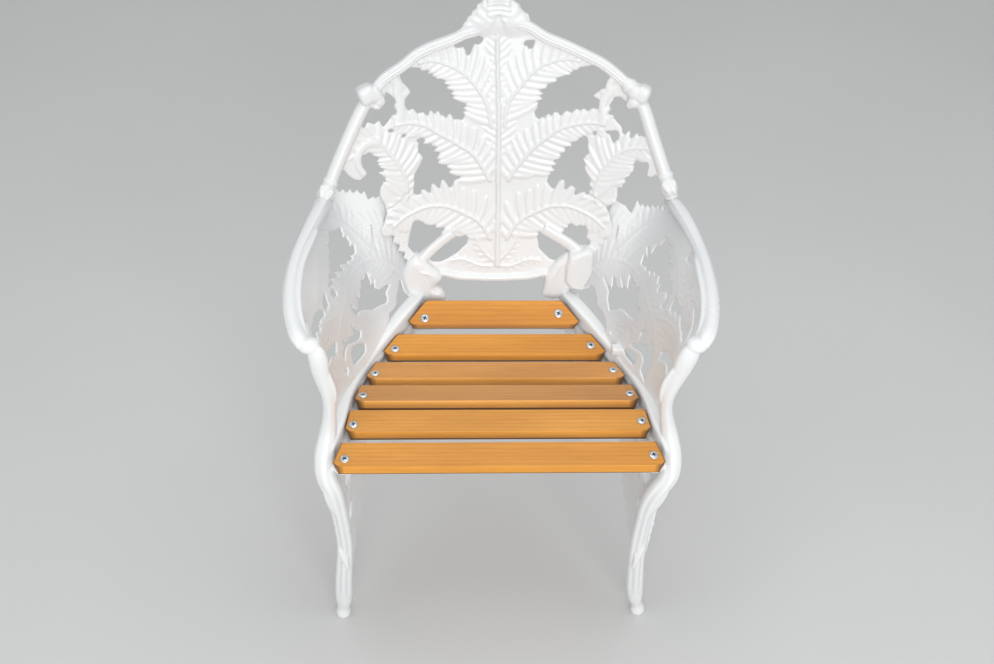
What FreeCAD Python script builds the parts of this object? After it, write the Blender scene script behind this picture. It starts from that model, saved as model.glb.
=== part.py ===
import FreeCAD, Part
import os, math
from FreeCAD import Vector as V

os.makedirs("parts", exist_ok=True)

# ---------------------------------------------------------------- dimensions
# All lengths in millimetres.  While modelling, x is to the sitter's left-right,
# y runs from the front edge of the seat (0) to the back, z is up from the floor.
Y_SHIFT = -261.4          # moves the origin to the centre of the footprint box

RECLINE = 12.0            # lean of the back, degrees
BACK_R = 650.0            # plan radius of the curved back
BACK_Y, BACK_Z = 365.0, 475.0   # lower edge of the back, on the centre line
PLATE_T = 7.0             # thickness of the openwork back
PANEL_T = 5.5             # thickness of the openwork sides
ROD_R = 10.0              # round uprights between the collars

SLAT_W, SLAT_T = 41.0, 18.2     # section of the wooden slats
SLAT_GROW = 6.5           # length of the short return cut at each slat end
LEDGE_T = 6.0             # ledge that carries the slats
SCREW_D, SCREW_HOLE = 6.0, 6.6
HEAD_D, HEAD_H = 12.0, 3.8
NUT_AF, NUT_H = 10.0, 5.0
WASHER_D, WASHER_T = 13.0, 1.5
BOLT_D, BOLT_HOLE = 8.0, 8.8

# name, front top edge (y, z), slope in degrees, half lengths at the back edge
# and at the pointed end, and the x of the screws
SLATS = [
    ("slat_1_rear", 293.2, 439.6, 32.0, 106.4, 133.5, 104.0),
    ("slat_2", 238.7, 426.5, 10.2, 150.2, 170.6, 149.5),
    ("slat_3", 181.8, 429.0, -4.6, 181.5, 194.4, 178.5),
    ("slat_4", 124.4, 436.5, -7.9, 201.6, 208.2, 195.5),
    ("slat_5", 64.6, 432.2, 6.4, 213.4, 218.4, 206.0),
    ("slat_6_front", 5.8, 421.9, 10.5, 222.4, 232.8, 216.0),
]
SCREW_AT = 0.40           # screw position across a slat, from its front edge

# rim of the back: x and height up the leaning back, half of it
RIM = [(0, 404), (30, 400), (53, 390), (83, 375), (112, 359), (141, 342),
       (166, 325), (191, 307), (206, 285), (218, 263), (235, 226), (250, 190),
       (264, 160)]
CREST = [(0, 446), (9, 444), (20, 437), (31, 430), (39, 416), (45, 402),
         (54, 388), (54, 372), (0, 372)]
# outer edge of the openwork of the back, half of it, from the bottom centre
BACK_EDGE = [(0, 0), (29, 1.5), (60, 5), (86, 11), (100, 4), (128, -6),
             (150, -2), (160, 20), (166, 52), (178, 72), (186, 90), (178, 119),
             (184, 138), (196, 160), (206, 181), (218, 186), (232, 186),
             (247, 190), (235, 226), (218, 263), (206, 285), (191, 307),
             (166, 325), (141, 342), (112, 359), (83, 375), (53, 390), (0, 404)]
# openings of the back, right half
BACK_HOLES = [
    [(39, 375), (49, 384), (57, 378), (52, 369), (43, 363)],
    [(58, 267), (64, 287), (62, 300), (76, 315), (92, 328), (110, 338),
     (132, 345), (148, 340), (156, 326), (142, 306), (148, 285), (122, 280),
     (102, 276), (82, 270)],
    [(172, 305), (186, 307), (192, 290), (205, 278), (209, 262), (204, 255),
     (190, 253), (178, 262), (168, 272), (163, 285)],
    [(130, 236), (136, 222), (134, 207), (140, 190), (143, 172), (138, 152),
     (126, 156), (112, 166), (98, 168), (86, 156), (78, 166), (85, 182),
     (88, 202), (98, 213), (112, 223)],
    [(198, 206), (210, 211), (218, 206), (216, 196), (206, 190), (198, 182),
     (190, 172), (184, 180), (190, 194)],
    [(106, 87), (112, 94), (122, 104), (138, 98), (140, 84), (144, 70),
     (138, 62), (124, 66)],
    [(66, 79), (78, 76), (97, 66), (113, 52), (106, 42), (94, 38), (80, 45),
     (70, 58)],
]
# sides: guide curves where the openwork leaves the seat rail and meets the arm
SIDE_S = [0.0, 0.15, 0.3, 0.45, 0.6, 0.75, 0.88, 1.0]
SIDE_LOW = [(127, 362, 470), (144, 325, 462), (167, 275, 440), (188, 228, 432),
            (207, 178, 433), (222, 130, 437), (235, 80, 436), (247, 35, 425)]
SIDE_HIGH = [(147, 398, 622), (206, 381, 634), (258, 345, 638), (272, 262, 645),
             (280, 190, 645), (281, 125, 641), (274, 70, 634), (262, 28, 622)]
# openings of the sides, as fractions along and up the guide curves
SIDE_HOLES = [
    [(0.285, 0.575), (0.30, 0.68), (0.345, 0.775), (0.395, 0.765),
     (0.43, 0.70), (0.475, 0.63), (0.505, 0.555), (0.455, 0.555),
     (0.40, 0.58), (0.34, 0.56)],
    [(0.60, 0.60), (0.66, 0.615), (0.73, 0.60), (0.72, 0.55), (0.66, 0.56)],
    [(0.21, 0.20), (0.24, 0.30), (0.28, 0.35), (0.33, 0.345), (0.385, 0.36),
     (0.41, 0.31), (0.38, 0.255), (0.33, 0.215), (0.29, 0.175), (0.24, 0.165)],
    [(0.06, 0.07), (0.11, 0.13), (0.17, 0.12), (0.24, 0.085), (0.26, 0.06),
     (0.17, 0.05), (0.10, 0.045)],
    [(0.46, 0.09), (0.49, 0.135), (0.54, 0.13), (0.57, 0.085), (0.52, 0.07)],
    [(0.45, 0.165), (0.51, 0.20), (0.57, 0.24), (0.60, 0.255), (0.635, 0.20),
     (0.655, 0.13), (0.64, 0.09), (0.61, 0.14), (0.56, 0.185), (0.50, 0.17)],
    [(0.66, 0.30), (0.67, 0.345), (0.72, 0.37), (0.765, 0.36), (0.77, 0.31),
     (0.72, 0.30)],
]
# arm rail centre line with half width and half thickness
ARM = [(257, 352, 633, 11, 10), (265, 305, 643, 12.5, 9), (273, 250, 645.5, 13, 8.5),
       (280, 195, 645, 13, 8.5), (282, 135, 642, 13.5, 8.5),
       (277.5, 85, 636.5, 14, 8.5), (271, 56, 631.5, 14, 8.5),
       (265.5, 39, 628, 13, 8.5), (260.5, 27, 625, 9, 6)]
# front post, knee and front leg centre line with half sizes across and deep
LEG = [(243, 27, 624, 7, 7), (234, 36, 575, 9, 9), (227, 50, 527, 10, 10),
       (225, 61, 484, 11, 11), (230, 56, 449, 12, 13), (239, 38, 424, 14, 16),
       (243, 25, 400, 15, 16), (237, 22, 376, 14.5, 15), (226, 28, 331, 13, 14),
       (220.5, 38, 276, 12.5, 13), (222, 48, 220, 13.5, 13),
       (225.5, 58, 162, 14.5, 14), (231.5, 70, 92, 14, 14),
       (236.5, 79, 42, 11.5, 12), (238.3, 82.5, 25, 9, 9.5),
       (239.3, 84.2, 14, 11, 11), (240.2, 85, 6, 12, 12), (240.2, 85, 0, 10.5, 10.5)]
# seat rail centre line with half width and half height
RAIL = [(120, 340, 462, 11, 15), (136, 318, 449, 11, 15), (151, 298, 436, 11, 15),
        (187, 244, 420, 11, 15), (209.5, 188, 420, 11, 15), (222.7, 130, 427, 11, 15),
        (232.6, 70, 424, 11, 15), (242, 28, 415, 12, 15)]
# rear leg centre line, from the knuckle down and outwards
REAR_LEG = [(113, 372, 468, 15, 14), (117, 379, 440, 14, 14), (127, 394, 385, 12.5, 13),
            (141, 417, 300, 11.5, 12), (155, 445, 190, 11.5, 12.5),
            (169, 475, 90, 12, 13), (177.5, 495, 34, 11, 11.5),
            (179.5, 500, 20, 9, 9.5), (181, 503.5, 10, 11.5, 11.5),
            (181.5, 505, 4, 12, 12), (181.5, 505, 0, 10.5, 10.5)]
KNUCKLE = (112.0, 362.0, 482.0)


# ------------------------------------------------------------------- helpers
def ring(c, t, up, a, b, n=10):
    """closed smooth oval round the point c, square to the direction t"""
    t = V(t); t.normalize()
    u = t.cross(up); u.normalize()
    w = u.cross(t); w.normalize()
    pts = []
    for i in range(n):
        q = 2 * math.pi * i / n
        pts.append(c + u * (a * math.cos(q)) + w * (b * math.sin(q)))
    s = Part.BSplineCurve()
    s.interpolate(Points=pts, PeriodicFlag=True)
    return Part.Wire([s.toShape()])


def tube(st, up, flat_end=False):
    """smooth bar through stations (x, y, z, half width, half height)"""
    P = [V(*s[:3]) for s in st]
    wires = []
    for i, s in enumerate(st):
        a = P[max(i - 1, 0)]
        b = P[min(i + 1, len(P) - 1)]
        t = b.sub(a)
        if flat_end and i >= len(P) - 2:
            t = V(0, 0, -1)
        wires.append(ring(P[i], t, up, s[3], s[4]))
    return Part.makeLoft(wires, True, False, False)


def poly_face(pts):
    w = Part.makePolygon([V(*p) for p in pts] + [V(*pts[0])])
    return Part.Face(w)


def prism(pts, d):
    return poly_face(pts).extrude(V(*d))


def fuse_all(shapes):
    s = shapes[0]
    for o in shapes[1:]:
        s = s.fuse(o)
    try:
        s = s.removeSplitter()
    except Exception:
        pass
    return s


def biggest(s):
    return max(s.Solids, key=lambda q: q.Volume)


def mirror_x(s):
    return s.mirror(V(0, 0, 0), V(1, 0, 0))


def back_local(x, h, off=0.0):
    """point of the back in its upright frame: off is forwards of the surface"""
    r = BACK_R - off
    a = math.asin(x / BACK_R)
    return V(r * math.sin(a), -BACK_R + r * math.cos(a), h)


def to_chair(shape):
    """from the upright frame of the back to the chair"""
    s = shape.copy()
    s.rotate(V(0, 0, 0), V(1, 0, 0), -RECLINE)
    s.translate(V(0, BACK_Y, BACK_Z))
    return s


def both(points):
    """mirror a half outline that starts and ends on the centre line"""
    return points + [(-x, h) for x, h in reversed(points) if x > 0.01]


# -------------------------------------------------------------- back casting
def make_back():
    ring_o = Part.makeCylinder(BACK_R + PLATE_T / 2, 600, V(0, -BACK_R, -100))
    ring_i = Part.makeCylinder(BACK_R - PLATE_T / 2, 620, V(0, -BACK_R, -110))
    outline = [(x, -130, h) for x, h in both(BACK_EDGE)]
    plate = prism(outline, (0, 150, 0))
    for hole in BACK_HOLES:
        for sgn in (1, -1):
            plate = plate.cut(prism([(sgn * x, -140, h) for x, h in hole], (0, 170, 0)))
    plate = plate.common(ring_o.cut(ring_i))
    # rim, from one lower collar over the top to the other
    half = RIM
    st = []
    for x, h in reversed(half):
        p = back_local(-x, h)
        st.append((p.x, p.y, p.z) + ((ROD_R, ROD_R) if h < 306 else (9.5, 11.5)))
    for x, h in half[1:]:
        p = back_local(x, h)
        st.append((p.x, p.y, p.z) + ((ROD_R, ROD_R) if h < 306 else (9.5, 11.5)))
    rim = tube(st, V(0, 1, 0))
    pieces = [plate, rim]
    # crest leaf
    pieces.append(prism([(x, -9, h) for x, h in both(CREST)], (0, 19, 0)))
    for sgn in (1, -1):
        # upper collars
        c = back_local(sgn * 191, 306)
        pieces.append(Part.makeSphere(17.0, c))
        # lower collars, square to the rod
        a = back_local(sgn * 250, 190)
        b = back_local(sgn * 264, 160)
        d = b.sub(a); d.normalize()
        pieces.append(Part.makeSphere(13.5, a + d * 4))
        pieces.append(Part.makeCylinder(12.0, 22.0, a + d * 10, d))
        # stub branches from the knuckles to the root of the fern
        p = back_local(sgn * 46, 80, 2)
        q = back_local(sgn * 118, 30, 2)
        d = q.sub(p)
        pieces.append(Part.makeCylinder(7.5, d.Length, p, d))
        # bosses on the rear face for the upper frame bolts
        p = back_local(sgn * 165, 92, 0)
        n = V(sgn * 165 / BACK_R, math.sqrt(1 - (165 / BACK_R) ** 2), 0)
        pieces.append(Part.makeCylinder(9.0, 9.0, p, n))
    # rolled lower edge
    low = [back_local(x, h + 3) for x, h in
           [(-86, 11), (-60, 5), (-29, 1.5), (0, 0), (29, 1.5), (60, 5), (86, 11)]]
    pieces.append(tube([(p.x, p.y, p.z, 6.5, 6.5) for p in low], V(0, 1, 0)))
    back = to_chair(fuse_all(pieces))
    more = []
    for sgn in (1, -1):
        kx, ky, kz = KNUCKLE
        k = Part.makeSphere(24.0, V(0, 0, 0))
        m = FreeCAD.Matrix()
        m.scale(1.0, 0.72, 1.05)
        k = k.transformGeometry(m)
        k.translate(V(sgn * kx, ky, kz))
        more.append(k)
        # leaf lobes that lap forwards over the rear slat
        lobe = [(sgn * (kx - 6), 352, 476), (sgn * (kx - 40), 352, 476),
                (sgn * (kx - 38), 352, 484), (sgn * (kx - 26), 352, 496),
                (sgn * (kx - 6), 352, 500)]
        more.append(prism(lobe, (0, 9, 0)))
        leg = [(sgn * s[0],) + s[1:] for s in REAR_LEG]
        more.append(tube(leg, V(0, 1, 0), True))
    back = fuse_all([back] + more)
    # tapped holes for the frame bolts
    for sgn in (1, -1):
        back = back.cut(upper_bolt_axis(sgn, BOLT_D / 2 + 0.15, 1.0, 30.0))
        kx, ky, kz = KNUCKLE
        back = back.cut(Part.makeCylinder(BOLT_D / 2 + 0.15, 26.0,
                                          V(sgn * (kx + 28), ky, kz), V(-sgn, 0, 0)))
    return biggest(back)


def upper_frame(sgn):
    """place and outward direction of the upper frame bolt, in the chair"""
    p = back_local(sgn * 165, 92, 0)
    n = V(sgn * 165 / BACK_R, math.sqrt(1 - (165 / BACK_R) ** 2), 0)
    rot = FreeCAD.Rotation(V(1, 0, 0), -RECLINE)
    return rot.multVec(p) + V(0, BACK_Y, BACK_Z), rot.multVec(n)


def upper_bolt_axis(sgn, r, a, b):
    p, n = upper_frame(sgn)
    return Part.makeCylinder(r, b - a, p + n * a, n)


# -------------------------------------------------------------- side casting
def spline(points):
    s = Part.BSplineCurve()
    s.interpolate(Points=[V(*p) for p in points], Parameters=SIDE_S)
    return s


def slat_frame(row):
    name, fy, fz, deg, hb, ht, sx = row
    a = math.radians(deg)
    return V(0, fy, fz), V(0, math.cos(a), math.sin(a)), V(0, math.sin(a), -math.cos(a))


def ledge_profile():
    """(y, z) of the ledge's top, straight under each slat"""
    out = []
    for row in reversed(SLATS):
        o, e, d = slat_frame(row)
        p = o + d * SLAT_T
        q = p + e * SLAT_W
        out += [(p.y, p.z), (q.y, q.z)]
    return out


def side_pt(sp_lo, sp_hi, s, t):
    a = sp_lo.value(s)
    b = sp_hi.value(s)
    return a + (b.sub(a)) * t


def make_side():
    lo, hi = spline(SIDE_LOW), spline(SIDE_HIGH)
    # openwork panel between the seat rail and the arm
    quads = []
    for i in range(14):
        s = 0.015 + (0.915 - 0.015) * i / 13.0
        a = side_pt(lo, hi, s, -0.02)
        b = side_pt(lo, hi, s, 1.0)
        ds = side_pt(lo, hi, s + 0.01, 0.5).sub(side_pt(lo, hi, s - 0.01, 0.5))
        n = ds.cross(b.sub(a)); n.normalize()
        h = n * (PANEL_T / 2)
        quads.append(Part.makePolygon([a + h, b + h, b - h, a - h, a + h]))
    panel = Part.makeLoft(quads, True, False, False)
    for hole in SIDE_HOLES:
        P = [side_pt(lo, hi, s, t) for s, t in hole]
        c = V(0, 0, 0)
        for p in P:
            c = c + p
        c = c * (1.0 / len(P))
        sm = sum(s for s, t in hole) / len(hole)
        tm = sum(t for s, t in hole) / len(hole)
        ds = side_pt(lo, hi, sm + 0.02, tm).sub(side_pt(lo, hi, sm - 0.02, tm))
        dt = side_pt(lo, hi, sm, 1.0).sub(side_pt(lo, hi, sm, 0.0))
        n = ds.cross(dt); n.normalize()
        flat = [p - n * (p.sub(c).dot(n)) - n * 30 for p in P]
        f = Part.Face(Part.makePolygon(flat + [flat[0]]))
        panel = panel.cut(f.extrude(n * 60))
    arm = tube(ARM, V(0, 0, 1))
    leg = tube(LEG, V(0, 1, 0), True)
    rail = tube(RAIL, V(0, 0, 1))
    # ledge under the slat ends, with a lug at each screw
    prof = ledge_profile()
    top = [(prof[0][0] + 4, prof[0][1] + (prof[1][1] - prof[0][1]) * 4 / (prof[1][0] - prof[0][0]))] + prof[1:]
    top[-1] = (top[-1][0] - 2, top[-1][1] - 2 * (top[-1][1] - top[-2][1]) / (top[-1][0] - top[-2][0]))
    band = [(30, y, z) for y, z in top] + [(30, y, z - LEDGE_T) for y, z in reversed(top)]
    band = prism(band, (230, 0, 0))

    def tip_x(y):
        T = [(row[1] + 6, row[5]) for row in SLATS]
        T = [(360.0, 92.0)] + T + [(-20.0, 238.0)]
        for (y1, x1), (y0, x0) in zip(T, T[1:]):
            if y0 <= y <= y1:
                return x0 + (x1 - x0) * (y - y0) / (y1 - y0)
        return 236.0
    plan = [(rx, ry) for rx, ry, rz, a, b in reversed(RAIL)] + [(104, 345)]
    for row in SLATS:
        o, e, d = slat_frame(row)
        yc = (o + e * (SLAT_W * SCREW_AT) + d * SLAT_T).y
        xs = row[6]
        plan += [(tip_x(yc + 13) - 7, yc + 13), (xs - 9, yc + 12), (xs - 13, yc + 6),
                 (xs - 13, yc - 6), (xs - 9, yc - 12), (tip_x(yc - 13) - 7, yc - 13)]
    ledge = prism([(x, y, 300) for x, y in plan], (0, 0, 250)).common(band)
    # bracket plate behind the front leg, in the plane under the rail
    web = [(30, 405), (90, 410), (150, 408), (200, 408), (222, 404), (228, 380),
           (222, 352), (226, 330), (214, 300), (216, 280), (200, 255), (196, 236),
           (172, 214), (162, 190), (142, 176), (130, 150), (112, 136),
           (98, 108), (84, 92), (70, 96), (60, 140), (50, 200), (40, 260),
           (32, 330)]
    k = -0.205
    pts = [(236 + k * (y - 30) - 3, y, z) for y, z in web]
    web = prism(pts, (6, 0, 0))
    # strap that reaches behind the back, and cheek beside the knuckle
    p, n = upper_frame(1)
    side = V(0, 0, 1).cross(n); side.normalize()
    if side.x > 0:
        side = side * -1
    up = n.cross(side); up.normalize()
    if up.z < 0:
        up = up * -1
    base = p + n * 9.0
    strap = [base + side * 12 + up * 11, base + side * 12 - up * 11,
             base - side * 34 - up * 13, base - side * 34 + up * 13]
    strap = Part.Face(Part.makePolygon(strap + [strap[0]])).extrude(n * 6)
    neck = [base - side * 24 + up * 13, base - side * 24 - up * 13,
            base - side * 34 - up * 13, base - side * 34 + up * 13]
    neck = Part.Face(Part.makePolygon([q - n * 14 for q in neck] + [neck[0] - n * 14])).extrude(n * 15)
    kx, ky, kz = KNUCKLE
    cheek = prism([(kx + 24.5, 322, 450), (kx + 24.5, 378, 462), (kx + 24.5, 380, 500),
                   (kx + 24.5, 352, 506), (kx + 24.5, 330, 480)], (7, 0, 0))
    s = fuse_all([panel, arm, leg, rail, ledge, web, strap, neck, cheek])
    # holes
    for row in SLATS:
        o, e, d = slat_frame(row)
        c = o + e * (SLAT_W * SCREW_AT)
        c = V(row[6], c.y, c.z)
        s = s.cut(Part.makeCylinder(SCREW_HOLE / 2, 60, c - d * 10, d))
    # room for the end of the front slat beside the knee
    o, e, d = slat_frame(SLATS[-1])
    q = [V(200, 0, 0) + o - e * 1.5, V(234.3, 0, 0) + o - e * 1.5,
         V(234.3, 0, 0) + o + e * 14.0, V(224.5, 0, 0) + o + e * (SLAT_W + 1.5),
         V(200, 0, 0) + o + e * (SLAT_W + 1.5)]
    q = [v - d * 3.0 for v in q]
    s = s.cut(Part.Face(Part.makePolygon(q + [q[0]])).extrude(d * (SLAT_T + 3.0)))
    p, n = upper_frame(1)
    s = s.cut(Part.makeCylinder(BOLT_HOLE / 2, 40, p + n * 5, n))
    s = s.cut(Part.makeCylinder(BOLT_HOLE / 2, 60, V(kx + 10, ky, kz), V(1, 0, 0)))
    return s


# ------------------------------------------------------------ slats, hardware
def make_slat(row):
    o, e, d = slat_frame(row)
    name, fy, fz, deg, hb, ht, sx = row
    tip = SLAT_GROW
    half = [(ht - 7.0, 0), (ht, tip), (hb, SLAT_W)]
    pts = half + [(-x, w) for x, w in reversed(half)]
    P = [V(x, 0, 0) + o + e * w for x, w in pts]
    s = Part.Face(Part.makePolygon(P + [P[0]])).extrude(d * SLAT_T)
    for sgn in (1, -1):
        c = V(sgn * sx, 0, 0) + o + e * (SLAT_W * SCREW_AT)
        s = s.cut(Part.makeCylinder(SCREW_HOLE / 2, 40, c - d * 10, d))
    edges = [q for q in s.Edges if len(q.Vertexes) == 2 and q.Length > 2 * hb - 1
             and abs(q.CenterOfMass.sub(o).dot(d)) < 0.01]
    return s.makeFillet(2.0, edges)


def make_screw(c, d):
    """domed head with a cross recess, on top of the slat"""
    up = d * -1
    r = HEAD_D / 2
    R = (r * r + HEAD_H * HEAD_H) / (2 * HEAD_H)
    ball = Part.makeSphere(R, c + up * (HEAD_H - R))
    head = ball.common(Part.makeCylinder(r, HEAD_H + 1, c, up))
    u = V(1, 0, 0)
    w = up.cross(u)
    for a, b in ((u, w), (w, u)):
        q = [c + up * (HEAD_H - 2.2) + a * (2.9 * i) + b * (0.65 * j)
             for i, j in ((-1, -1), (1, -1), (1, 1), (-1, 1))]
        head = head.cut(Part.Face(Part.makePolygon(q + [q[0]])).extrude(up * 5))
    shank = Part.makeCylinder(SCREW_D / 2, SLAT_T + LEDGE_T + WASHER_T + NUT_H + 2.0, c, d)
    return head.fuse(shank)


def make_washer(c, d, bore):
    return Part.makeCylinder(WASHER_D / 2, WASHER_T, c, d).cut(
        Part.makeCylinder(bore / 2, 40, c - d * 10, d))


def make_nut(c, d, af, h, bore):
    u = V(1, 0, 0)
    if abs(d.dot(u)) > 0.9:
        u = V(0, 1, 0)
    u = (u - d * u.dot(d)); u.normalize()
    w = d.cross(u)
    r = af / 2 / math.cos(math.pi / 6)
    P = [c + u * (r * math.cos(i * math.pi / 3)) + w * (r * math.sin(i * math.pi / 3)) for i in range(6)]
    s = Part.Face(Part.makePolygon(P + [P[0]])).extrude(d * h)
    if bore:
        s = s.cut(Part.makeCylinder(bore / 2, 60, c - d * 20, d))
    return s


def export(name, shapes):
    s = shapes[0] if len(shapes) == 1 else Part.makeCompound(shapes)
    s = s.copy()
    s.translate(V(0, Y_SHIFT, 0))
    s.exportStep("parts/" + name + ".step")
    b = s.BoundBox
    print("%-22s solids %2d valid %s vol %.0f  x %.1f..%.1f y %.1f..%.1f z %.1f..%.1f" % (
        name, len(s.Solids), s.isValid(), s.Volume, b.XMin, b.XMax, b.YMin, b.YMax, b.ZMin, b.ZMax))
    return s


back = make_back()
side_r = biggest(make_side().cut(back))
side_l = mirror_x(side_r)
export("back_casting", [back])
export("side_casting_right", [side_r])
export("side_casting_left", [side_l])

screws, washers, nuts = [], [], []
for row in SLATS:
    export(row[0], [make_slat(row)])
    o, e, d = slat_frame(row)
    for sgn in (-1, 1):
        c = V(sgn * row[6], 0, 0) + o + e * (SLAT_W * SCREW_AT)
        screws.append(make_screw(c, d))
        w = c + d * (SLAT_T + LEDGE_T * math.cos(math.radians(row[3])))
        washers.append(make_washer(w, d, SCREW_D + 0.4))
        nuts.append(make_nut(w + d * WASHER_T, d, NUT_AF, NUT_H, SCREW_D + 0.1))
export("slat_screws", screws)
export("slat_washers", washers)
export("slat_nuts", nuts)

upper, lower, fw = [], [], []
for sgn in (-1, 1):
    p, n = upper_frame(sgn)
    c = p + n * 15.0
    fw.append(make_washer(c, n, BOLT_D + 0.6))
    c = c + n * WASHER_T
    bolt = Part.makeCylinder(BOLT_D / 2, 15.0, c - n * 14.0, n)
    upper.append(make_nut(c, n, 13.0, 5.3, 0).fuse(bolt))
    kx, ky, kz = KNUCKLE
    c = V(sgn * (kx + 31.5), ky, kz)
    dx = V(sgn, 0, 0)
    fw.append(make_washer(c, dx, BOLT_D + 0.6))
    c = c + dx * WASHER_T
    bolt = Part.makeCylinder(BOLT_D / 2, 28.0, c - dx * 27.0, dx)
    lower.append(make_nut(c, dx, 13.0, 5.3, 0).fuse(bolt))
export("frame_bolts_upper", upper)
export("frame_bolts_lower", lower)
export("frame_washers", fw)
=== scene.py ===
import bpy
import math
import numpy as np
from mathutils import Matrix, Vector


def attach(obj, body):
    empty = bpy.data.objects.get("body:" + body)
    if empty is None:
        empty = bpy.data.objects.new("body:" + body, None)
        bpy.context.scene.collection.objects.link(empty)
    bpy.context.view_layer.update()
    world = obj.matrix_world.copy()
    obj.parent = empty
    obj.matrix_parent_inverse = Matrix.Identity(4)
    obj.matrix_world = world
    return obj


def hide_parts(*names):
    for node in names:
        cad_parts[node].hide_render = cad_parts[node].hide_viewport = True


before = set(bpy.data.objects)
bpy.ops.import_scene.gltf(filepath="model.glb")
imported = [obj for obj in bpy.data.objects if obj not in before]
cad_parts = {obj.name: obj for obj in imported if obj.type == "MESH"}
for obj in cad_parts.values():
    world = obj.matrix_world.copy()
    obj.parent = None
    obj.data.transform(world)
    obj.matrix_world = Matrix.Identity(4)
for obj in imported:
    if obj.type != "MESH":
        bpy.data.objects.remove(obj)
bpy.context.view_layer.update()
scene = bpy.context.scene

# Everything below is modelled in millimetres with the seat's front edge at
# y = 0, and moved into the shared frame (metres) when a mesh is made.
MM = 0.001
Y_SHIFT = -261.4
REC = math.radians(12.0)
BR, BY, BZ = 650.0, 365.0, 475.0
TAU = 2 * math.pi
rng = np.random.default_rng(11)


def place(P):
    P = np.array(P, float)
    P[..., 1] += Y_SHIFT
    return P * MM


# ------------------------------------------------------------------ curves
def nat_spline(t, P):
    """natural cubic spline through P at t, as a function"""
    t = np.asarray(t, float)
    P = np.asarray(P, float)
    n = len(t)
    h = np.diff(t)
    A = np.zeros((n, n))
    R = np.zeros((n, P.shape[1]))
    A[0, 0] = A[-1, -1] = 1
    for i in range(1, n - 1):
        A[i, i - 1] = h[i - 1]
        A[i, i] = 2 * (h[i - 1] + h[i])
        A[i, i + 1] = h[i]
        R[i] = 6 * ((P[i + 1] - P[i]) / h[i] - (P[i] - P[i - 1]) / h[i - 1])
    m = np.linalg.solve(A, R)

    def f(q):
        q = np.atleast_1d(np.asarray(q, float))
        i = np.clip(np.searchsorted(t, q) - 1, 0, n - 2)
        sh = q.shape + (1,)
        a = (t[i + 1] - q).reshape(sh)
        b = (q - t[i]).reshape(sh)
        hh = h[i].reshape(sh)
        return (m[i] * a ** 3 + m[i + 1] * b ** 3) / (6 * hh) \
            + (P[i] / hh - m[i] * hh / 6) * a + (P[i + 1] / hh - m[i + 1] * hh / 6) * b
    return f


def smooth_line(P, step):
    """points about step apart on a smooth curve through P (any columns)"""
    P = np.array(P, float)
    d = np.linalg.norm(np.diff(P[:, :min(3, P.shape[1])], axis=0), axis=1)
    t = np.concatenate([[0], np.cumsum(np.maximum(d, 1e-6) ** 0.75)])
    f = nat_spline(t, P)
    q = f(np.linspace(0, t[-1], 60 * len(P)))
    L = np.concatenate([[0], np.cumsum(np.linalg.norm(np.diff(q[:, :min(3, P.shape[1])], axis=0), axis=1))])
    n = max(2, int(round(L[-1] / step)) + 1)
    s = np.linspace(0, L[-1], n)
    return np.stack([np.interp(s, L, q[:, k]) for k in range(q.shape[1])], 1)


def unit(v):
    return v / np.maximum(np.linalg.norm(v, axis=-1, keepdims=True), 1e-12)


# ------------------------------------------------------------ back surface
def bk(x, h, off=0.0):
    """point of the curved, leaning back; off is towards the sitter"""
    x, h, off = np.broadcast_arrays(np.asarray(x, float), np.asarray(h, float), np.asarray(off, float))
    a = np.arcsin(np.clip(x / BR, -1, 1))
    r = BR - off
    ly = -BR + r * np.cos(a)
    return np.stack([r * np.sin(a), ly * math.cos(REC) + h * math.sin(REC) + BY,
                     -ly * math.sin(REC) + h * math.cos(REC) + BZ], -1)


# ------------------------------------------------------------ side surface
SIDE_S = [0.0, 0.15, 0.3, 0.45, 0.6, 0.75, 0.88, 1.0]
SIDE_LOW = [(127, 362, 470), (144, 325, 462), (167, 275, 440), (188, 228, 432),
            (207, 178, 433), (222, 130, 437), (235, 80, 436), (247, 35, 425)]
SIDE_HIGH = [(147, 398, 622), (206, 381, 634), (258, 345, 638), (272, 262, 645),
             (280, 190, 645), (281, 125, 641), (274, 70, 634), (262, 28, 622)]
side_lo = nat_spline(SIDE_S, SIDE_LOW)
side_hi = nat_spline(SIDE_S, SIDE_HIGH)
US, VS = 385.0, 200.0          # millimetres along and up the side's chart


def sd(u, v, off=0.0, sg=1):
    """point of a side panel; off is outwards from the sitter"""
    u, v, off = np.broadcast_arrays(np.asarray(u, float), np.asarray(v, float), np.asarray(off, float))
    s, t = u / US, v / VS

    def P(s, t):
        a = side_lo(s)
        b = side_hi(s)
        return a + (b - a) * t[..., None]
    p = P(s, t)
    ds = P(s + 0.01, t) - P(s - 0.01, t)
    dt = P(s, t + 0.01) - P(s, t - 0.01)
    n = unit(np.cross(ds, dt))
    n = np.where(n[..., :1] < 0, -n, n)
    p = p + n * off[..., None]
    p = p * np.array([sg, 1, 1])
    return p


# --------------------------------------------------------- closed meshes
class Bag:
    """collects closed pieces of one casting"""

    def __init__(self):
        self.v, self.f, self.n = [], [], 0

    def add(self, V, F):
        V = np.asarray(V, float).reshape(-1, 3)
        self.v.append(V)
        self.f.extend([tuple(int(i) + self.n for i in f) for f in F])
        self.n += len(V)

    def mesh(self, name):
        me = bpy.data.meshes.new(name)
        me.from_pydata(place(np.concatenate(self.v)).tolist(), [], self.f)
        me.update()
        return me


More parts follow.
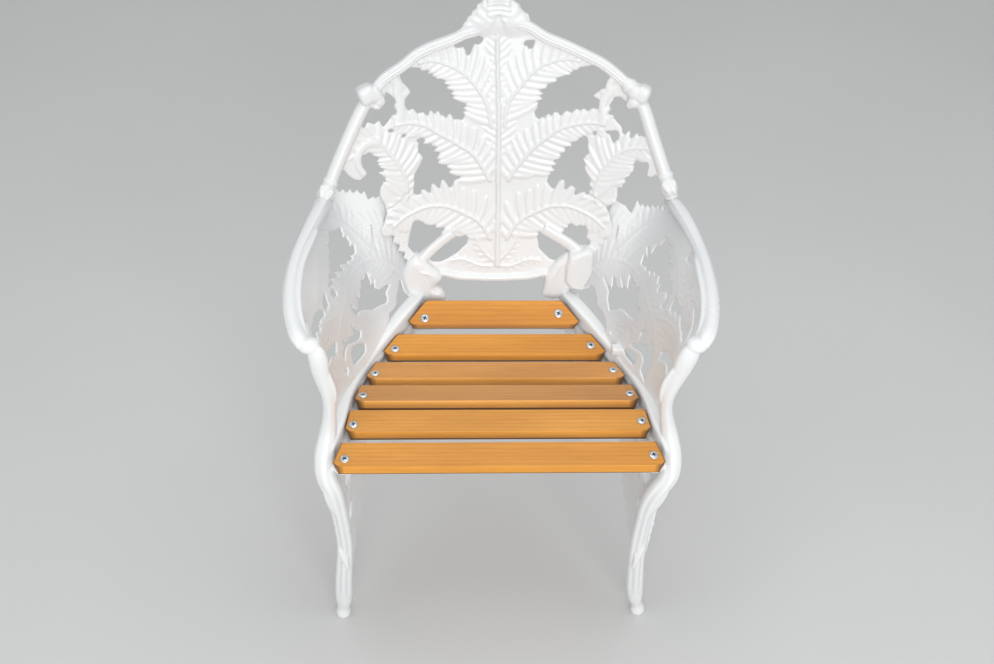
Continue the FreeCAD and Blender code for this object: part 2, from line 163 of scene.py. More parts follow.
def sweep(st, up=(0, 0, 1), n=28, step=3.0, prof=None, flat_end=False):
    """closed bar through stations (x, y, z, half width, half height)"""
    S = smooth_line(st, step)
    P = S[:, :3]
    T = unit(np.gradient(P, axis=0))
    if flat_end:
        T[-3:] = (0, 0, -1)
    U = unit(np.cross(T, np.array(up, float)))
    W = unit(np.cross(U, T))
    q = np.linspace(0, TAU, n, endpoint=False)
    L = np.concatenate([[0], np.cumsum(np.linalg.norm(np.diff(P, axis=0), axis=1))])
    m = np.ones((len(P), n))
    if prof is not None:
        m = m * prof(q[None, :], (L / L[-1])[:, None])
    V = P[:, None] + U[:, None] * (S[:, 3, None] * m * np.cos(q))[..., None] \
        + W[:, None] * (S[:, 4, None] * m * np.sin(q))[..., None]
    V = V.reshape(-1, 3)
    F = []
    for i in range(len(P) - 1):
        for j in range(n):
            k = (j + 1) % n
            F.append((i * n + j, i * n + k, (i + 1) * n + k, (i + 1) * n + j))
    a, b = len(V), len(V) + 1
    V = np.concatenate([V, P[:1], P[-1:]])
    for j in range(n):
        k = (j + 1) % n
        F.append((a, k, j))
        e = (len(P) - 1) * n
        F.append((b, e + j, e + k))
    return V, F


def squared(p=3.2):
    """profile factor that flattens a bar's four faces"""
    def f(q, s):
        return (np.abs(np.cos(q)) ** p + np.abs(np.sin(q)) ** p) ** (-1.0 / p) * (1 + 0 * s)
    return f


def blob(c, ax, R=None, nu=20, nv=12, power=2.0):
    """closed rounded lump with half sizes ax"""
    V = [(0, 0, 1.0)]
    for i in range(1, nv):
        p = math.pi * i / nv
        for j in range(nu):
            q = TAU * j / nu
            V.append((math.sin(p) * math.cos(q), math.sin(p) * math.sin(q), math.cos(p)))
    V.append((0, 0, -1.0))
    V = np.array(V)
    if power != 2.0:
        V = np.sign(V) * np.abs(V) ** (2.0 / power)
    V = V * np.array(ax, float)
    if R is not None:
        V = V @ np.array(R, float).T
    V = V + np.array(c, float)
    F = []
    for j in range(nu):
        k = (j + 1) % nu
        F.append((0, 1 + j, 1 + k))
        for i in range(nv - 2):
            a = 1 + i * nu
            F.append((a + j, a + nu + j, a + nu + k, a + k))
        e = 1 + (nv - 2) * nu
        F.append((len(V) - 1, e + k, e + j))
    return V, F


def lathe(c, d, prof, up=(0, 1, 0), n=28):
    """closed turned piece: prof rows are (distance along d, radius)"""
    d = unit(np.array(d, float))
    u = unit(np.cross(d, np.array(up, float)))
    w = np.cross(d, u)
    c = np.array(c, float)
    V, F = [], []
    q = np.linspace(0, TAU, n, endpoint=False)
    for t, r in prof:
        V.append(c + d * t + u[None] * (r * np.cos(q))[:, None] + w[None] * (r * np.sin(q))[:, None])
    V = np.concatenate(V)
    for i in range(len(prof) - 1):
        for j in range(n):
            k = (j + 1) % n
            F.append((i * n + j, i * n + k, (i + 1) * n + k, (i + 1) * n + j))
    F.append(tuple(range(n - 1, -1, -1)))
    F.append(tuple((len(prof) - 1) * n + j for j in range(n)))
    return V, F


def blade(base, tip, side, normal, width, thick, bend=0.0, vein=0.6, n=12, cup=0.0):
    """closed leaf blade from base to tip, curved by bend towards normal"""
    base, tip = np.array(base, float), np.array(tip, float)
    d = tip - base
    L = np.linalg.norm(d)
    e = d / L
    nrm = unit(np.array(normal, float) - e * np.dot(normal, e))
    sde = unit(np.array(side, float) - e * np.dot(side, e) - nrm * np.dot(side, nrm))
    V, F = [], []
    m = 9
    for i in range(n + 1):
        t = i / n
        w = width * (math.sin(math.pi * min(1, 0.18 + 0.82 * t) ** 0.8) ** 0.75 if t < 1 else 0.02)
        w = max(w, width * 0.04)
        cen = base + e * (L * t) + nrm * (bend * 4 * t * (1 - t))
        for s in (1, -1):
            for j in range(m):
                v = -1 + 2 * j / (m - 1)
                z = thick * (0.25 + 0.75 * math.sqrt(max(0, 1 - v * v))) * (0.35 + 0.65 * math.sin(math.pi * min(1, 0.15 + 0.85 * t) ** 0.9))
                z = s * z - cup * v * v
                if s > 0:
                    z += vein * math.exp(-(v * width / 1.3) ** 2)
                V.append(cen + sde * (w * v) + nrm * z)
    row = 2 * m
    for i in range(n):
        for j in range(m - 1):
            a = i * row + j
            F.append((a, a + 1, a + row + 1, a + row))
            a = i * row + m + j
            F.append((a, a + row, a + row + 1, a + 1))
        a, b = i * row, i * row + m
        F.append((a, a + row, b + row, b))
        a, b = i * row + m - 1, i * row + 2 * m - 1
        F.append((a, b, b + row, a + row))
    for i in (0, n):
        o = i * row
        loop = [o + j for j in range(m)] + [o + m + j for j in range(m - 1, -1, -1)]
        F.append(tuple(loop if i == n else loop[::-1]))
    return np.array(V), F


# ------------------------------------------------ relief sheets on a chart
def poly_sdf(X, Y, poly):
    """distance to a closed outline, positive inside"""
    P = np.array(poly, float)
    Q = np.roll(P, -1, 0)
    d2 = np.full(X.shape, 1e18)
    ins = np.zeros(X.shape, bool)
    for (ax, ay), (bx, by) in zip(P, Q):
        ex, ey = bx - ax, by - ay
        wx, wy = X - ax, Y - ay
        t = np.clip((wx * ex + wy * ey) / max(ex * ex + ey * ey, 1e-9), 0, 1)
        d2 = np.minimum(d2, (wx - t * ex) ** 2 + (wy - t * ey) ** 2)
        c = ((ay > Y) != (by > Y))
        if ey != 0:
            ins ^= c & (X < ex * (Y - ay) / ey + ax)
    d = np.sqrt(d2)
    return np.where(ins, d, -d)


def round_poly(poly, step=2.0, keep=0.5):
    """closed outline with its corners eased"""
    P = np.array(poly, float)
    out = []
    n = len(P)
    for i in range(n):
        a, b = P[i], P[(i + 1) % n]
        L = np.linalg.norm(b - a)
        k = max(1, int(L / step))
        for j in range(k):
            out.append(a + (b - a) * j / k)
    P = np.array(out)
    for _ in range(2):
        P = P * keep + (np.roll(P, 1, 0) + np.roll(P, -1, 0)) * (1 - keep) / 2
    return P


class Chart:
    """signed outline and front relief on a grid"""

    def __init__(self, x0, x1, y0, y1, cell):
        self.x0, self.y0, self.c = x0, y0, cell
        nx = int(round((x1 - x0) / cell)) + 1
        ny = int(round((y1 - y0) / cell)) + 1
        self.X, self.Y = np.meshgrid(x0 + cell * np.arange(nx), y0 + cell * np.arange(ny))
        self.D = np.full(self.X.shape, -50.0)
        self.Z = np.zeros(self.X.shape)
        self.R = np.full(self.X.shape, -9.0)     # highest leaf relief so far
        self.holes = []

    def win(self, x0, x1, y0, y1, pad=2.0):
        i0 = max(0, int((y0 - pad - self.y0) / self.c))
        i1 = min(self.X.shape[0], int((y1 + pad - self.y0) / self.c) + 2)
        j0 = max(0, int((x0 - pad - self.x0) / self.c))
        j1 = min(self.X.shape[1], int((x1 + pad - self.x0) / self.c) + 2)
        return slice(i0, max(i1, i0)), slice(j0, max(j1, j0))

    def fill(self, poly):
        self.D = np.maximum(self.D, poly_sdf(self.X, self.Y, poly))

    def cut(self, poly, grow=0.0, keep=0.5, crisp=0.0):
        if crisp:
            # stronger teeth than the outline's own
            P = np.array(poly, float)
            m = (np.roll(P, 1, 0) + np.roll(P, -1, 0)) / 2
            poly = P + np.clip(crisp * (P - m), -2.6, 2.6)
        P = round_poly(poly, 2.0, keep)
        self.holes.append(P)
        w = self.win(P[:, 0].min(), P[:, 0].max(), P[:, 1].min(), P[:, 1].max(), 16 + grow)
        self.D[w] = np.minimum(self.D[w], -poly_sdf(self.X[w], self.Y[w], P) - grow)

    def inside_hole(self, pts):
        r = np.zeros(len(pts), bool)
        for P in self.holes:
            Q = np.roll(P, -1, 0)
            lo, hi = P.min(0), P.max(0)
            k = np.where((pts[:, 0] > lo[0]) & (pts[:, 0] < hi[0]) & (pts[:, 1] > lo[1]) & (pts[:, 1] < hi[1]))[0]
            if not len(k):
                continue
            x, y = pts[k, 0][:, None], pts[k, 1][:, None]
            c = (P[None, :, 1] > y) != (Q[None, :, 1] > y)
            den = np.where(Q[:, 1] == P[:, 1], 1e-9, Q[:, 1] - P[:, 1])
            xi = (Q[:, 0] - P[:, 0])[None] * (y - P[None, :, 1]) / den[None] + P[None, :, 0]
            r[k] |= (np.sum(c & (x < xi), 1) % 2) == 1
        return r

    def leaflet(self, p, d, L, w0, lvl, amp, bend, side, free, tl=12.0, po=(1.6, 0.62)):
        """one leaflet of a frond as relief, its axis bending by bend"""
        nrm = np.array([-d[1], d[0]])
        tip = p + d * L + nrm * bend
        xs = [p[0], tip[0]]
        ys = [p[1], tip[1]]
        w = self.win(min(xs), max(xs), min(ys), max(ys), w0 + 2 + abs(bend))
        X, Y = self.X[w] - p[0], self.Y[w] - p[1]
        if X.size == 0:
            return
        u = X * d[0] + Y * d[1]
        v = X * nrm[0] + Y * nrm[1] - bend * (np.clip(u, 0, L) / L) ** 2
        k = np.clip(u / L, 0, 1)
        tl = min(tl, 0.7 * L)
        k2 = np.clip((u - (L - tl)) / tl, 0, 1)
        width = w0 * (0.90 + 0.10 * np.cos(math.pi * (k - 0.35))) * (1 - k2 ** po[0]) ** po[1]
        width = np.maximum(width, 0.05)
        a = v / width
        dd = np.where((u > -1) & (u < L), (1 - np.abs(a)) * width, -np.hypot(np.maximum(np.maximum(u - L, -u), 0), v) + 0)
        c = np.clip(1 - a * a, 0, 1)
        z = lvl + amp * (c ** 0.5 - 0.55) + amp * 0.22 * np.exp(-(v / 0.9) ** 2) * (1 - 0.5 * k) \
            + amp * 0.20 * np.clip(a, -1, 1) * side - amp * 0.25 * k ** 2 \
            - 0.5 * amp * np.exp(-((1 - np.abs(a)) * width / 0.7) ** 2)
        inside = dd > 0
        self.R[w] = np.where(inside, np.maximum(self.R[w], z), self.R[w])
        if free:
            dd = np.where(dd > -4, dd, -50.0)
            if free == 2:
                self.D[w] = np.maximum(self.D[w], dd)
            else:
                self.lobes.append((w, dd))

    def notch(self, p, d, depth, half):
        """small slit that opens to a hole at p, pointing back along d"""
        w = self.win(min(p[0], p[0] - d[0] * depth), max(p[0], p[0] - d[0] * depth),
                     min(p[1], p[1] - d[1] * depth), max(p[1], p[1] - d[1] * depth), 5)
        X, Y = self.X[w] - p[0], self.Y[w] - p[1]
        if X.size == 0:
            return
        u = X * d[0] + Y * d[1]
        v = np.abs(-X * d[1] + Y * d[0])
        k = np.clip((u + depth) / depth, 0, 1.4)
        dd = np.where((u > -depth) & (u < 3.0), half * k - v, -5.0)
        dd = np.where(u <= -depth, -np.hypot(u + depth, v), dd)
        dd = np.where(u >= 3.0, half * 1.4 - v - (u - 3.0), dd)
        self.D[w] = np.minimum(self.D[w], -dd)

    def line(self, P, half, lvl, amp, grow=True, taper=0.0, step=1.5, groove=0.0):
        """raised rib along a curve"""
        S = smooth_line(P, step)
        w = self.win(S[:, 0].min(), S[:, 0].max(), S[:, 1].min(), S[:, 1].max(), half + 5)
        X, Y = self.X[w], self.Y[w]
        best = np.full(X.shape, 1e9)
        hw = np.full(X.shape, half)
        n = len(S)
        for i in range(n - 1):
            a, b = S[i], S[i + 1]
            e = b - a
            ww = self.win(min(a[0], b[0]), max(a[0], b[0]), min(a[1], b[1]), max(a[1], b[1]), half + 5)
            sub = (slice(ww[0].start - w[0].start, ww[0].stop - w[0].start),
                   slice(ww[1].start - w[1].start, ww[1].stop - w[1].start))
            x, y = self.X[ww] - a[0], self.Y[ww] - a[1]
            t = np.clip((x * e[0] + y * e[1]) / max(e @ e, 1e-9), 0, 1)
            dist = np.hypot(x - t * e[0], y - t * e[1])
            hh = half * (1 - taper * (i + t) / n)
            m = dist - hh < best[sub] - hw[sub]
            best[sub] = np.where(m, dist, best[sub])
            hw[sub] = np.where(m, hh, hw[sub])
        dd = hw - best
        k = np.clip(best / hw, 0, 1)
        z = lvl + amp * np.sqrt(1 - k * k)
        if groove:
            z = z - groove * np.exp(-((best - hw * 0.05) / (0.28 * half)) ** 2)
        self.R[w] = np.where(dd > 0, np.maximum(self.R[w], z), self.R[w])
        if groove or amp:
            ring = (dd <= 0) & (dd > -1.6)
            self.R[w] = np.where(ring, self.R[w] - 0.55 * amp * 0.35 * (1 + dd / 1.6), self.R[w])
        if grow:
            self.D[w] = np.maximum(self.D[w], np.where(dd > -6, dd, self.D[w]))

    def frond(self, P, side_specs, rib=2.0, lvl=0.8, amp=1.5, space=9.5, w0=4.9, rib_amp=1.4, grow_rib=False, start=6.0,
              ang0=62.0, ang1=38.0, shape=None, end_gap=2.0):
        """leaflets both sides of a midrib, then the midrib"""
        S = smooth_line(P, 0.5)
        T = unit(np.gradient(S, axis=0))
        total = 0.5 * (len(S) - 1)
        for spec in side_specs:
            side, lmax, free = spec[:3]
            tl, deep, po = spec[3:] if len(spec) > 3 else (12.0, 9.0, (1.6, 0.62))
            prev = None
            k = start + (space * 0.5 if side < 0 else 0)
            while k < total - end_gap:
                i = int(k / 0.5)
                f = k / total
                p = S[i]
                t = T[i]
                nrm = np.array([-t[1], t[0]]) * side
                ang = math.radians(ang0 + (ang1 - ang0) * f + rng.uniform(-2.5, 2.5))
                d = t * math.cos(ang) + nrm * math.sin(ang)
                if shape is None:
                    full = lmax * (0.55 + 0.45 * math.sin(math.pi * min(1, 0.25 + f)) if f < 0.75 else (1 - ((f - 0.75) / 0.25) ** 1.6 * 0.8) * 0.9)
                else:
                    full = lmax * np.interp(f, shape[0], shape[1])
                full *= rng.uniform(0.94, 1.06)
                bend = -0.10 * full * side * (1 if side > 0 else 1)
                reach = full + (16.0 if free else 0.0)
                q = np.linspace(0, reach, int(reach) + 2)
                nn = np.array([-d[1], d[0]])
                path = p + d * q[:, None] + nn * (bend * (q / full) ** 2)[:, None]
                hit = self.inside_hole(path) & (q > 3)
                L = full
                ended = False
                if hit.any():
                    L = max(5.0, q[np.argmax(hit)] + (2.0 if free else 0.8))
                    ended = True
                self.leaflet(p, d, L, w0 * rng.uniform(0.95, 1.05), lvl, amp, bend * (L / full) ** 2, side,
                             free and ended, tl, po)
                tip = p + d * L + nn * (bend * (L / full) ** 2)
                if ended and prev is not None and np.linalg.norm(prev - tip) < 2.2 * space:
                    if free:
                        self.notches.append(((prev + tip) / 2, d, min(deep, 0.6 * L), 0.46 * space))
                    else:
                        self.notches.append(((prev + tip) / 2, d, min(8.0, L * 0.3), min(1.6, space * 0.16)))
                prev = tip if ended else None
                k += space
        self.ribs.append((P, rib, lvl, rib_amp, grow_rib))

    notches = None
    ribs = None
    lobes = None

    def begin(self):
        self.notches = []
        self.ribs = []
        self.lobes = []

    def flush(self):
        for p, d, depth, half in self.notches:
            self.notch(p, d, depth, half)
        for w, dd in self.lobes:
            self.D[w] = np.maximum(self.D[w], dd)
        for P, rib, lvl, ra, grow in self.ribs:
            self.line(P, rib, lvl + 0.9, ra, grow, taper=0.35)
        self.begin()

    def build(self, bag, front, back, z0, zb, rel_f=1.0, rel_b=0.3, r=2.6, blur=1, low=-0.9):
        """adds the closed sheet to the bag"""
        D = self.D
        R = np.where(self.R > -8, self.R, 0.0)
        R = np.maximum(R, low)
        for _ in range(blur):
            R[1:-1, 1:-1] = 0.5 * R[1:-1, 1:-1] + 0.125 * (R[:-2, 1:-1] + R[2:, 1:-1] + R[1:-1, :-2] + R[1:-1, 2:])
        cells = (np.maximum(np.maximum(D[:-1, :-1], D[1:, :-1]), np.maximum(D[:-1, 1:], D[1:, 1:])) > 0)
        used = np.zeros(D.shape, bool)
        used[:-1, :-1] |= cells
        used[1:, :-1] |= cells
        used[:-1, 1:] |= cells
        used[1:, 1:] |= cells
        gy, gx = np.gradient(D, self.c)
        g2 = np.maximum(gx * gx + gy * gy, 0.25)
        m = used & (D < 0)
        sh = np.clip(-D, 0, 1.3 * self.c)
        X = np.where(m, self.X + gx / g2 * sh, self.X)
        Y = np.where(m, self.Y + gy / g2 * sh, self.Y)
        k = np.clip(D / r, 0, 1)
        e = np.sqrt(1 - (1 - k) ** 2) * 0.78 + 0.22
        zf = (z0 + rel_f * R) * e
        zk = (zb + rel_b * R) * e
        idx = -np.ones(D.shape, int)
        iy, ix = np.nonzero(used)
        idx[iy, ix] = np.arange(len(iy))
        Vf = front(X[iy, ix], Y[iy, ix], zf[iy, ix])
        Vb = back(X[iy, ix], Y[iy, ix], zk[iy, ix])
        n = len(iy)
        cy, cx = np.nonzero(cells)
        a, b = idx[cy, cx], idx[cy, cx + 1]
        c, d = idx[cy + 1, cx + 1], idx[cy + 1, cx]
        F = list(zip(a.tolist(), b.tolist(), c.tolist(), d.tolist()))
        F += list(zip((d + n).tolist(), (c + n).tolist(), (b + n).tolist(), (a + n).tolist()))
        pad = np.zeros((cells.shape[0] + 2, cells.shape[1] + 2), bool)
        pad[1:-1, 1:-1] = cells
        for dy, dx, p, q in ((-1, 0, a, b), (1, 0, c, d), (0, -1, d, a), (0, 1, b, c)):
            e = ~pad[cy + 1 + dy, cx + 1 + dx]
            for i, j in zip(p[e].tolist(), q[e].tolist()):
                F.append((j, i, i + n, j + n))
        bag.add(np.concatenate([Vf, Vb]), F)

# ------------------------------------------------------ outlines, back
# openings of the back, on its own surface: across and up, millimetres
BACK_HOLES = {
    "H1L": [(-63.0, 372.2), (-60.0, 378.8), (-44.5, 381.0), (-38.6, 386.4), (-29.1, 386.3), (-21.3, 383.9),
          (-24.8, 377.3), (-32.5, 373.7), (-37.3, 370.0), (-39.6, 362.8), (-44.1, 357.7), (-46.8, 365.3),
          (-51.6, 370.8), (-58.8, 370.9)],
    "H2L": [(-140.7, 335.6), (-132.9, 341.2), (-122.2, 342.5), (-111.4, 340.2), (-103.1, 336.8), (-94.8, 330.3),
          (-87.6, 325.8), (-80.3, 326.2), (-77.3, 323.6), (-74.3, 314.2), (-68.2, 304.1), (-64.0, 300.2),
          (-62.7, 293.9), (-57.2, 286.2), (-51.1, 283.6), (-43.8, 287.9), (-47.4, 281.0), (-48.6, 273.4),
          (-47.9, 267.0), (-52.8, 260.7), (-59.5, 262.2), (-60.2, 268.6), (-65.7, 266.8), (-71.8, 270.8),
          (-81.6, 266.0), (-82.8, 275.0), (-92.6, 273.4), (-98.6, 274.9), (-103.5, 275.2), (-112.0, 272.4),
          (-114.4, 280.7), (-122.8, 279.9), (-130.1, 279.1), (-134.2, 288.1), (-133.5, 296.8), (-125.0, 306.3),
          (-129.7, 314.0), (-136.7, 321.8), (-140.2, 329.4)],
    "H3L": [(-162.5, 308.9), (-157.4, 304.8), (-149.1, 297.2), (-148.3, 285.4), (-148.1, 275.5), (-158.1, 268.7),
          (-164.1, 260.0), (-167.8, 256.5), (-169.1, 263.2), (-173.3, 268.4), (-180.4, 262.3), (-185.8, 266.3),
          (-191.2, 266.7), (-194.6, 256.7), (-196.8, 262.2), (-190.9, 276.5), (-182.8, 288.4), (-166.4, 285.2),
          (-163.0, 297.0)],
    "H4L": [(-123.5, 148.8), (-121.7, 162.7), (-121.5, 178.3), (-113.3, 193.3), (-107.6, 204.9), (-114.7, 213.9),
          (-115.5, 222.4), (-113.8, 229.1), (-119.4, 232.8), (-108.1, 235.5), (-106.6, 227.0), (-98.6, 218.1),
          (-95.4, 213.7), (-91.8, 224.6), (-93.4, 216.2), (-88.9, 212.5), (-86.5, 198.8), (-80.9, 191.6),
          (-72.7, 191.3), (-71.1, 182.6), (-64.5, 172.8), (-53.1, 176.8), (-48.9, 175.0), (-57.9, 168.2),
          (-64.5, 159.7), (-71.0, 153.8), (-76.0, 158.4), (-78.4, 167.2), (-87.4, 165.9), (-95.6, 161.1),
          (-100.6, 152.6), (-103.8, 158.1), (-107.9, 155.7), (-113.7, 147.3), (-120.2, 146.9)],
    "H5L": [(-202.2, 207.9), (-198.8, 217.6), (-189.4, 219.2), (-181.6, 215.0), (-177.0, 208.6), (-174.9, 199.9),
          (-172.3, 196.2), (-171.9, 191.1), (-174.5, 181.1), (-172.3, 173.1), (-163.1, 178.6), (-168.4, 170.1),
          (-173.4, 162.0), (-174.4, 149.9), (-184.9, 149.3), (-192.2, 144.1), (-189.2, 153.3), (-189.7, 158.9),
          (-200.5, 158.2), (-211.7, 154.4), (-216.1, 163.6), (-222.7, 155.9), (-227.1, 164.3), (-236.5, 161.4),
          (-232.7, 181.3), (-225.9, 197.4), (-218.5, 186.2), (-210.9, 179.2), (-201.6, 177.2), (-192.7, 183.9),
          (-198.0, 190.5), (-201.8, 194.3)],
    "H6L": [(-114.9, 106.6), (-109.1, 99.9), (-95.9, 95.5), (-90.1, 92.4), (-86.8, 91.3), (-79.3, 96.3),
          (-75.1, 84.4), (-82.6, 78.4), (-97.7, 66.6), (-112.8, 53.0), (-123.0, 42.8), (-133.0, 42.7),
          (-123.7, 50.2), (-127.8, 56.0), (-132.7, 62.9), (-129.2, 83.4), (-124.8, 102.0)],
    "H7L": [(-100.4, 38.2), (-91.1, 49.6), (-79.3, 60.9), (-62.5, 73.8), (-52.5, 72.6), (-40.4, 77.1), (-43.1, 62.2),
          (-57.4, 48.0), (-70.9, 39.3), (-82.7, 33.4), (-94.5, 34.1)],
    "H1R": [(37.8, 376.9), (39.8, 379.9), (53.0, 381.6), (50.0, 370.5), (42.7, 369.2), (38.6, 372.9)],
    "H2R": [(72.0, 315.0), (78.1, 313.8), (84.5, 322.5), (96.1, 332.7), (102.8, 333.1), (109.1, 339.6),
          (119.5, 344.4), (140.3, 349.2), (149.8, 344.4), (160.7, 335.7), (161.7, 330.3), (157.6, 321.7),
          (155.3, 316.0), (146.3, 311.1), (138.8, 303.5), (147.0, 298.6), (152.3, 297.6), (148.8, 288.9),
          (148.4, 284.7), (138.5, 283.2), (119.9, 280.4), (111.9, 279.2), (102.5, 277.2), (93.0, 278.1),
          (86.4, 273.5), (74.3, 270.1), (68.9, 268.4), (65.0, 262.6), (58.7, 268.0), (56.4, 276.5), (61.1, 278.8),
          (60.1, 287.9), (57.8, 294.9), (66.0, 293.8), (66.2, 306.4), (70.8, 310.7)],
    "H3R": [(163.1, 283.1), (165.1, 291.4), (168.9, 298.0), (171.1, 304.4), (178.5, 305.1), (184.6, 301.3),
          (191.1, 291.3), (196.3, 288.3), (201.0, 292.3), (205.3, 289.3), (211.1, 277.4), (216.0, 265.5),
          (219.5, 251.5), (216.3, 249.2), (212.8, 252.4), (208.1, 248.2), (205.1, 255.1), (199.1, 257.1),
          (194.2, 255.6), (190.4, 249.8), (186.7, 249.3), (184.7, 260.0), (172.1, 273.2)],
    "H4R": [(132.8, 241.6), (136.9, 229.9), (138.5, 215.3), (134.3, 213.0), (130.4, 203.4), (135.5, 188.8),
          (141.2, 178.0), (143.5, 168.7), (143.3, 155.4), (140.9, 149.4), (135.6, 150.9), (128.3, 155.0),
          (124.7, 158.6), (117.6, 159.0), (113.7, 166.3), (106.6, 167.7), (97.6, 170.9), (92.6, 163.0),
          (91.1, 155.3), (87.6, 155.0), (79.2, 166.0), (82.2, 179.5), (88.2, 185.5), (89.6, 195.0), (85.6, 206.0),
          (94.5, 202.8), (96.8, 212.3), (104.5, 216.5), (111.1, 224.3), (114.4, 230.1), (119.4, 234.1),
          (126.0, 240.1)],
    "H5R": [(204.0, 207.3), (209.7, 211.7), (213.2, 208.5), (223.2, 210.2), (225.6, 204.6), (223.6, 191.3),
          (226.5, 187.1), (231.4, 187.8), (234.6, 191.1), (238.7, 191.7), (243.6, 181.3), (247.5, 173.5),
          (252.6, 172.5), (252.0, 158.3), (256.0, 149.5), (249.4, 148.3), (242.9, 145.3), (234.1, 149.6),
          (229.5, 143.2), (220.7, 147.5), (214.9, 145.7), (209.1, 142.0), (207.3, 130.3), (201.2, 131.3),
          (193.9, 138.1), (181.5, 142.3), (184.5, 150.3), (183.6, 165.4), (189.6, 165.2), (194.6, 181.8),
          (199.3, 188.0), (203.1, 196.0)],
    "H6R": [(102.0, 84.9), (109.9, 90.4), (113.1, 98.6), (116.4, 105.7), (121.1, 101.2), (125.8, 96.7),
          (130.0, 101.9), (133.6, 100.3), (139.1, 96.9), (142.1, 91.3), (142.4, 85.4), (140.0, 79.2), (148.4, 73.1),
          (143.5, 62.7), (132.6, 66.6), (119.6, 75.4), (108.4, 82.4)],
    "H7R": [(66.0, 79.8), (69.5, 83.0), (81.5, 76.7), (96.3, 68.6), (109.4, 60.6), (118.8, 52.4), (111.9, 42.7),
          (101.3, 35.9), (88.4, 38.0), (79.0, 46.5), (70.4, 56.1), (69.1, 68.0)],
}
# centre lines of the fern fronds of the back
MIDRIB = {
    "M1R": [(13.0, 251.7), (16.6, 287.1), (25.1, 301.0), (37.9, 317.8), (50.5, 333.2), (66.1, 346.3), (81.7, 352.6),
          (103.1, 357.0), (118.9, 354.1)],
    "M1L": [(-7.9, 251.6), (-14.3, 285.4), (-23.4, 302.1), (-35.3, 318.8), (-48.6, 332.4), (-66.1, 343.1),
          (-82.0, 349.4), (-100.8, 352.9), (-115.1, 349.1)],
    "M2R": [(19.4, 166.3), (26.6, 180.9), (41.2, 200.5), (57.1, 220.0), (74.4, 234.8), (95.9, 251.5), (120.5, 259.8),
          (140.7, 263.5), (161.0, 261.7)],
    "M2L": [(-8.0, 166.1), (-20.4, 188.6), (-37.2, 211.1), (-55.3, 223.4), (-71.8, 233.9), (-87.2, 243.0),
          (-102.8, 253.7), (-118.9, 259.2), (-135.0, 260.5), (-149.6, 258.1)],
    "M3R": [(20.0, 70.5), (28.8, 89.2), (42.3, 104.5), (60.4, 115.1), (78.4, 124.3), (93.4, 128.4), (114.6, 128.2),
          (134.5, 121.7), (153.0, 111.9), (167.2, 98.6)],
    "M3L": [(-6.4, 70.3), (-16.0, 88.9), (-30.1, 104.0), (-48.6, 114.4), (-67.0, 123.2), (-83.8, 127.3),
          (-103.6, 126.7), (-123.4, 119.9), (-141.6, 109.9), (-155.5, 96.4)],
    "M4R": [(154.6, 138.4), (149.9, 157.4), (154.2, 173.9), (158.0, 185.5), (167.4, 200.7), (178.9, 215.5),
          (193.3, 227.2), (211.5, 231.3), (225.6, 232.0)],
    "M4L": [(-135.2, 138.8), (-133.4, 158.0), (-136.2, 174.3), (-140.5, 185.8), (-147.0, 198.9), (-156.3, 212.2),
          (-166.2, 225.6), (-177.7, 234.4), (-190.7, 233.3), (-201.0, 224.4), (-205.1, 209.4)],
    "STEML": [(6.0, 29.4), (4.8, 133.6), (4.0, 214.1), (2.5, 291.5), (-0.1, 351.5), (-1.6, 395.3)],
    "SPR": [(156.5, 265.2), (156.0, 279.6), (154.9, 294.0), (158.7, 303.4), (162.2, 311.2), (162.8, 323.2)],
    "SPL": [(-143.7, 262.3), (-141.3, 276.6), (-141.8, 291.0), (-143.8, 300.2), (-145.1, 307.7), (-145.7, 319.7)],
}
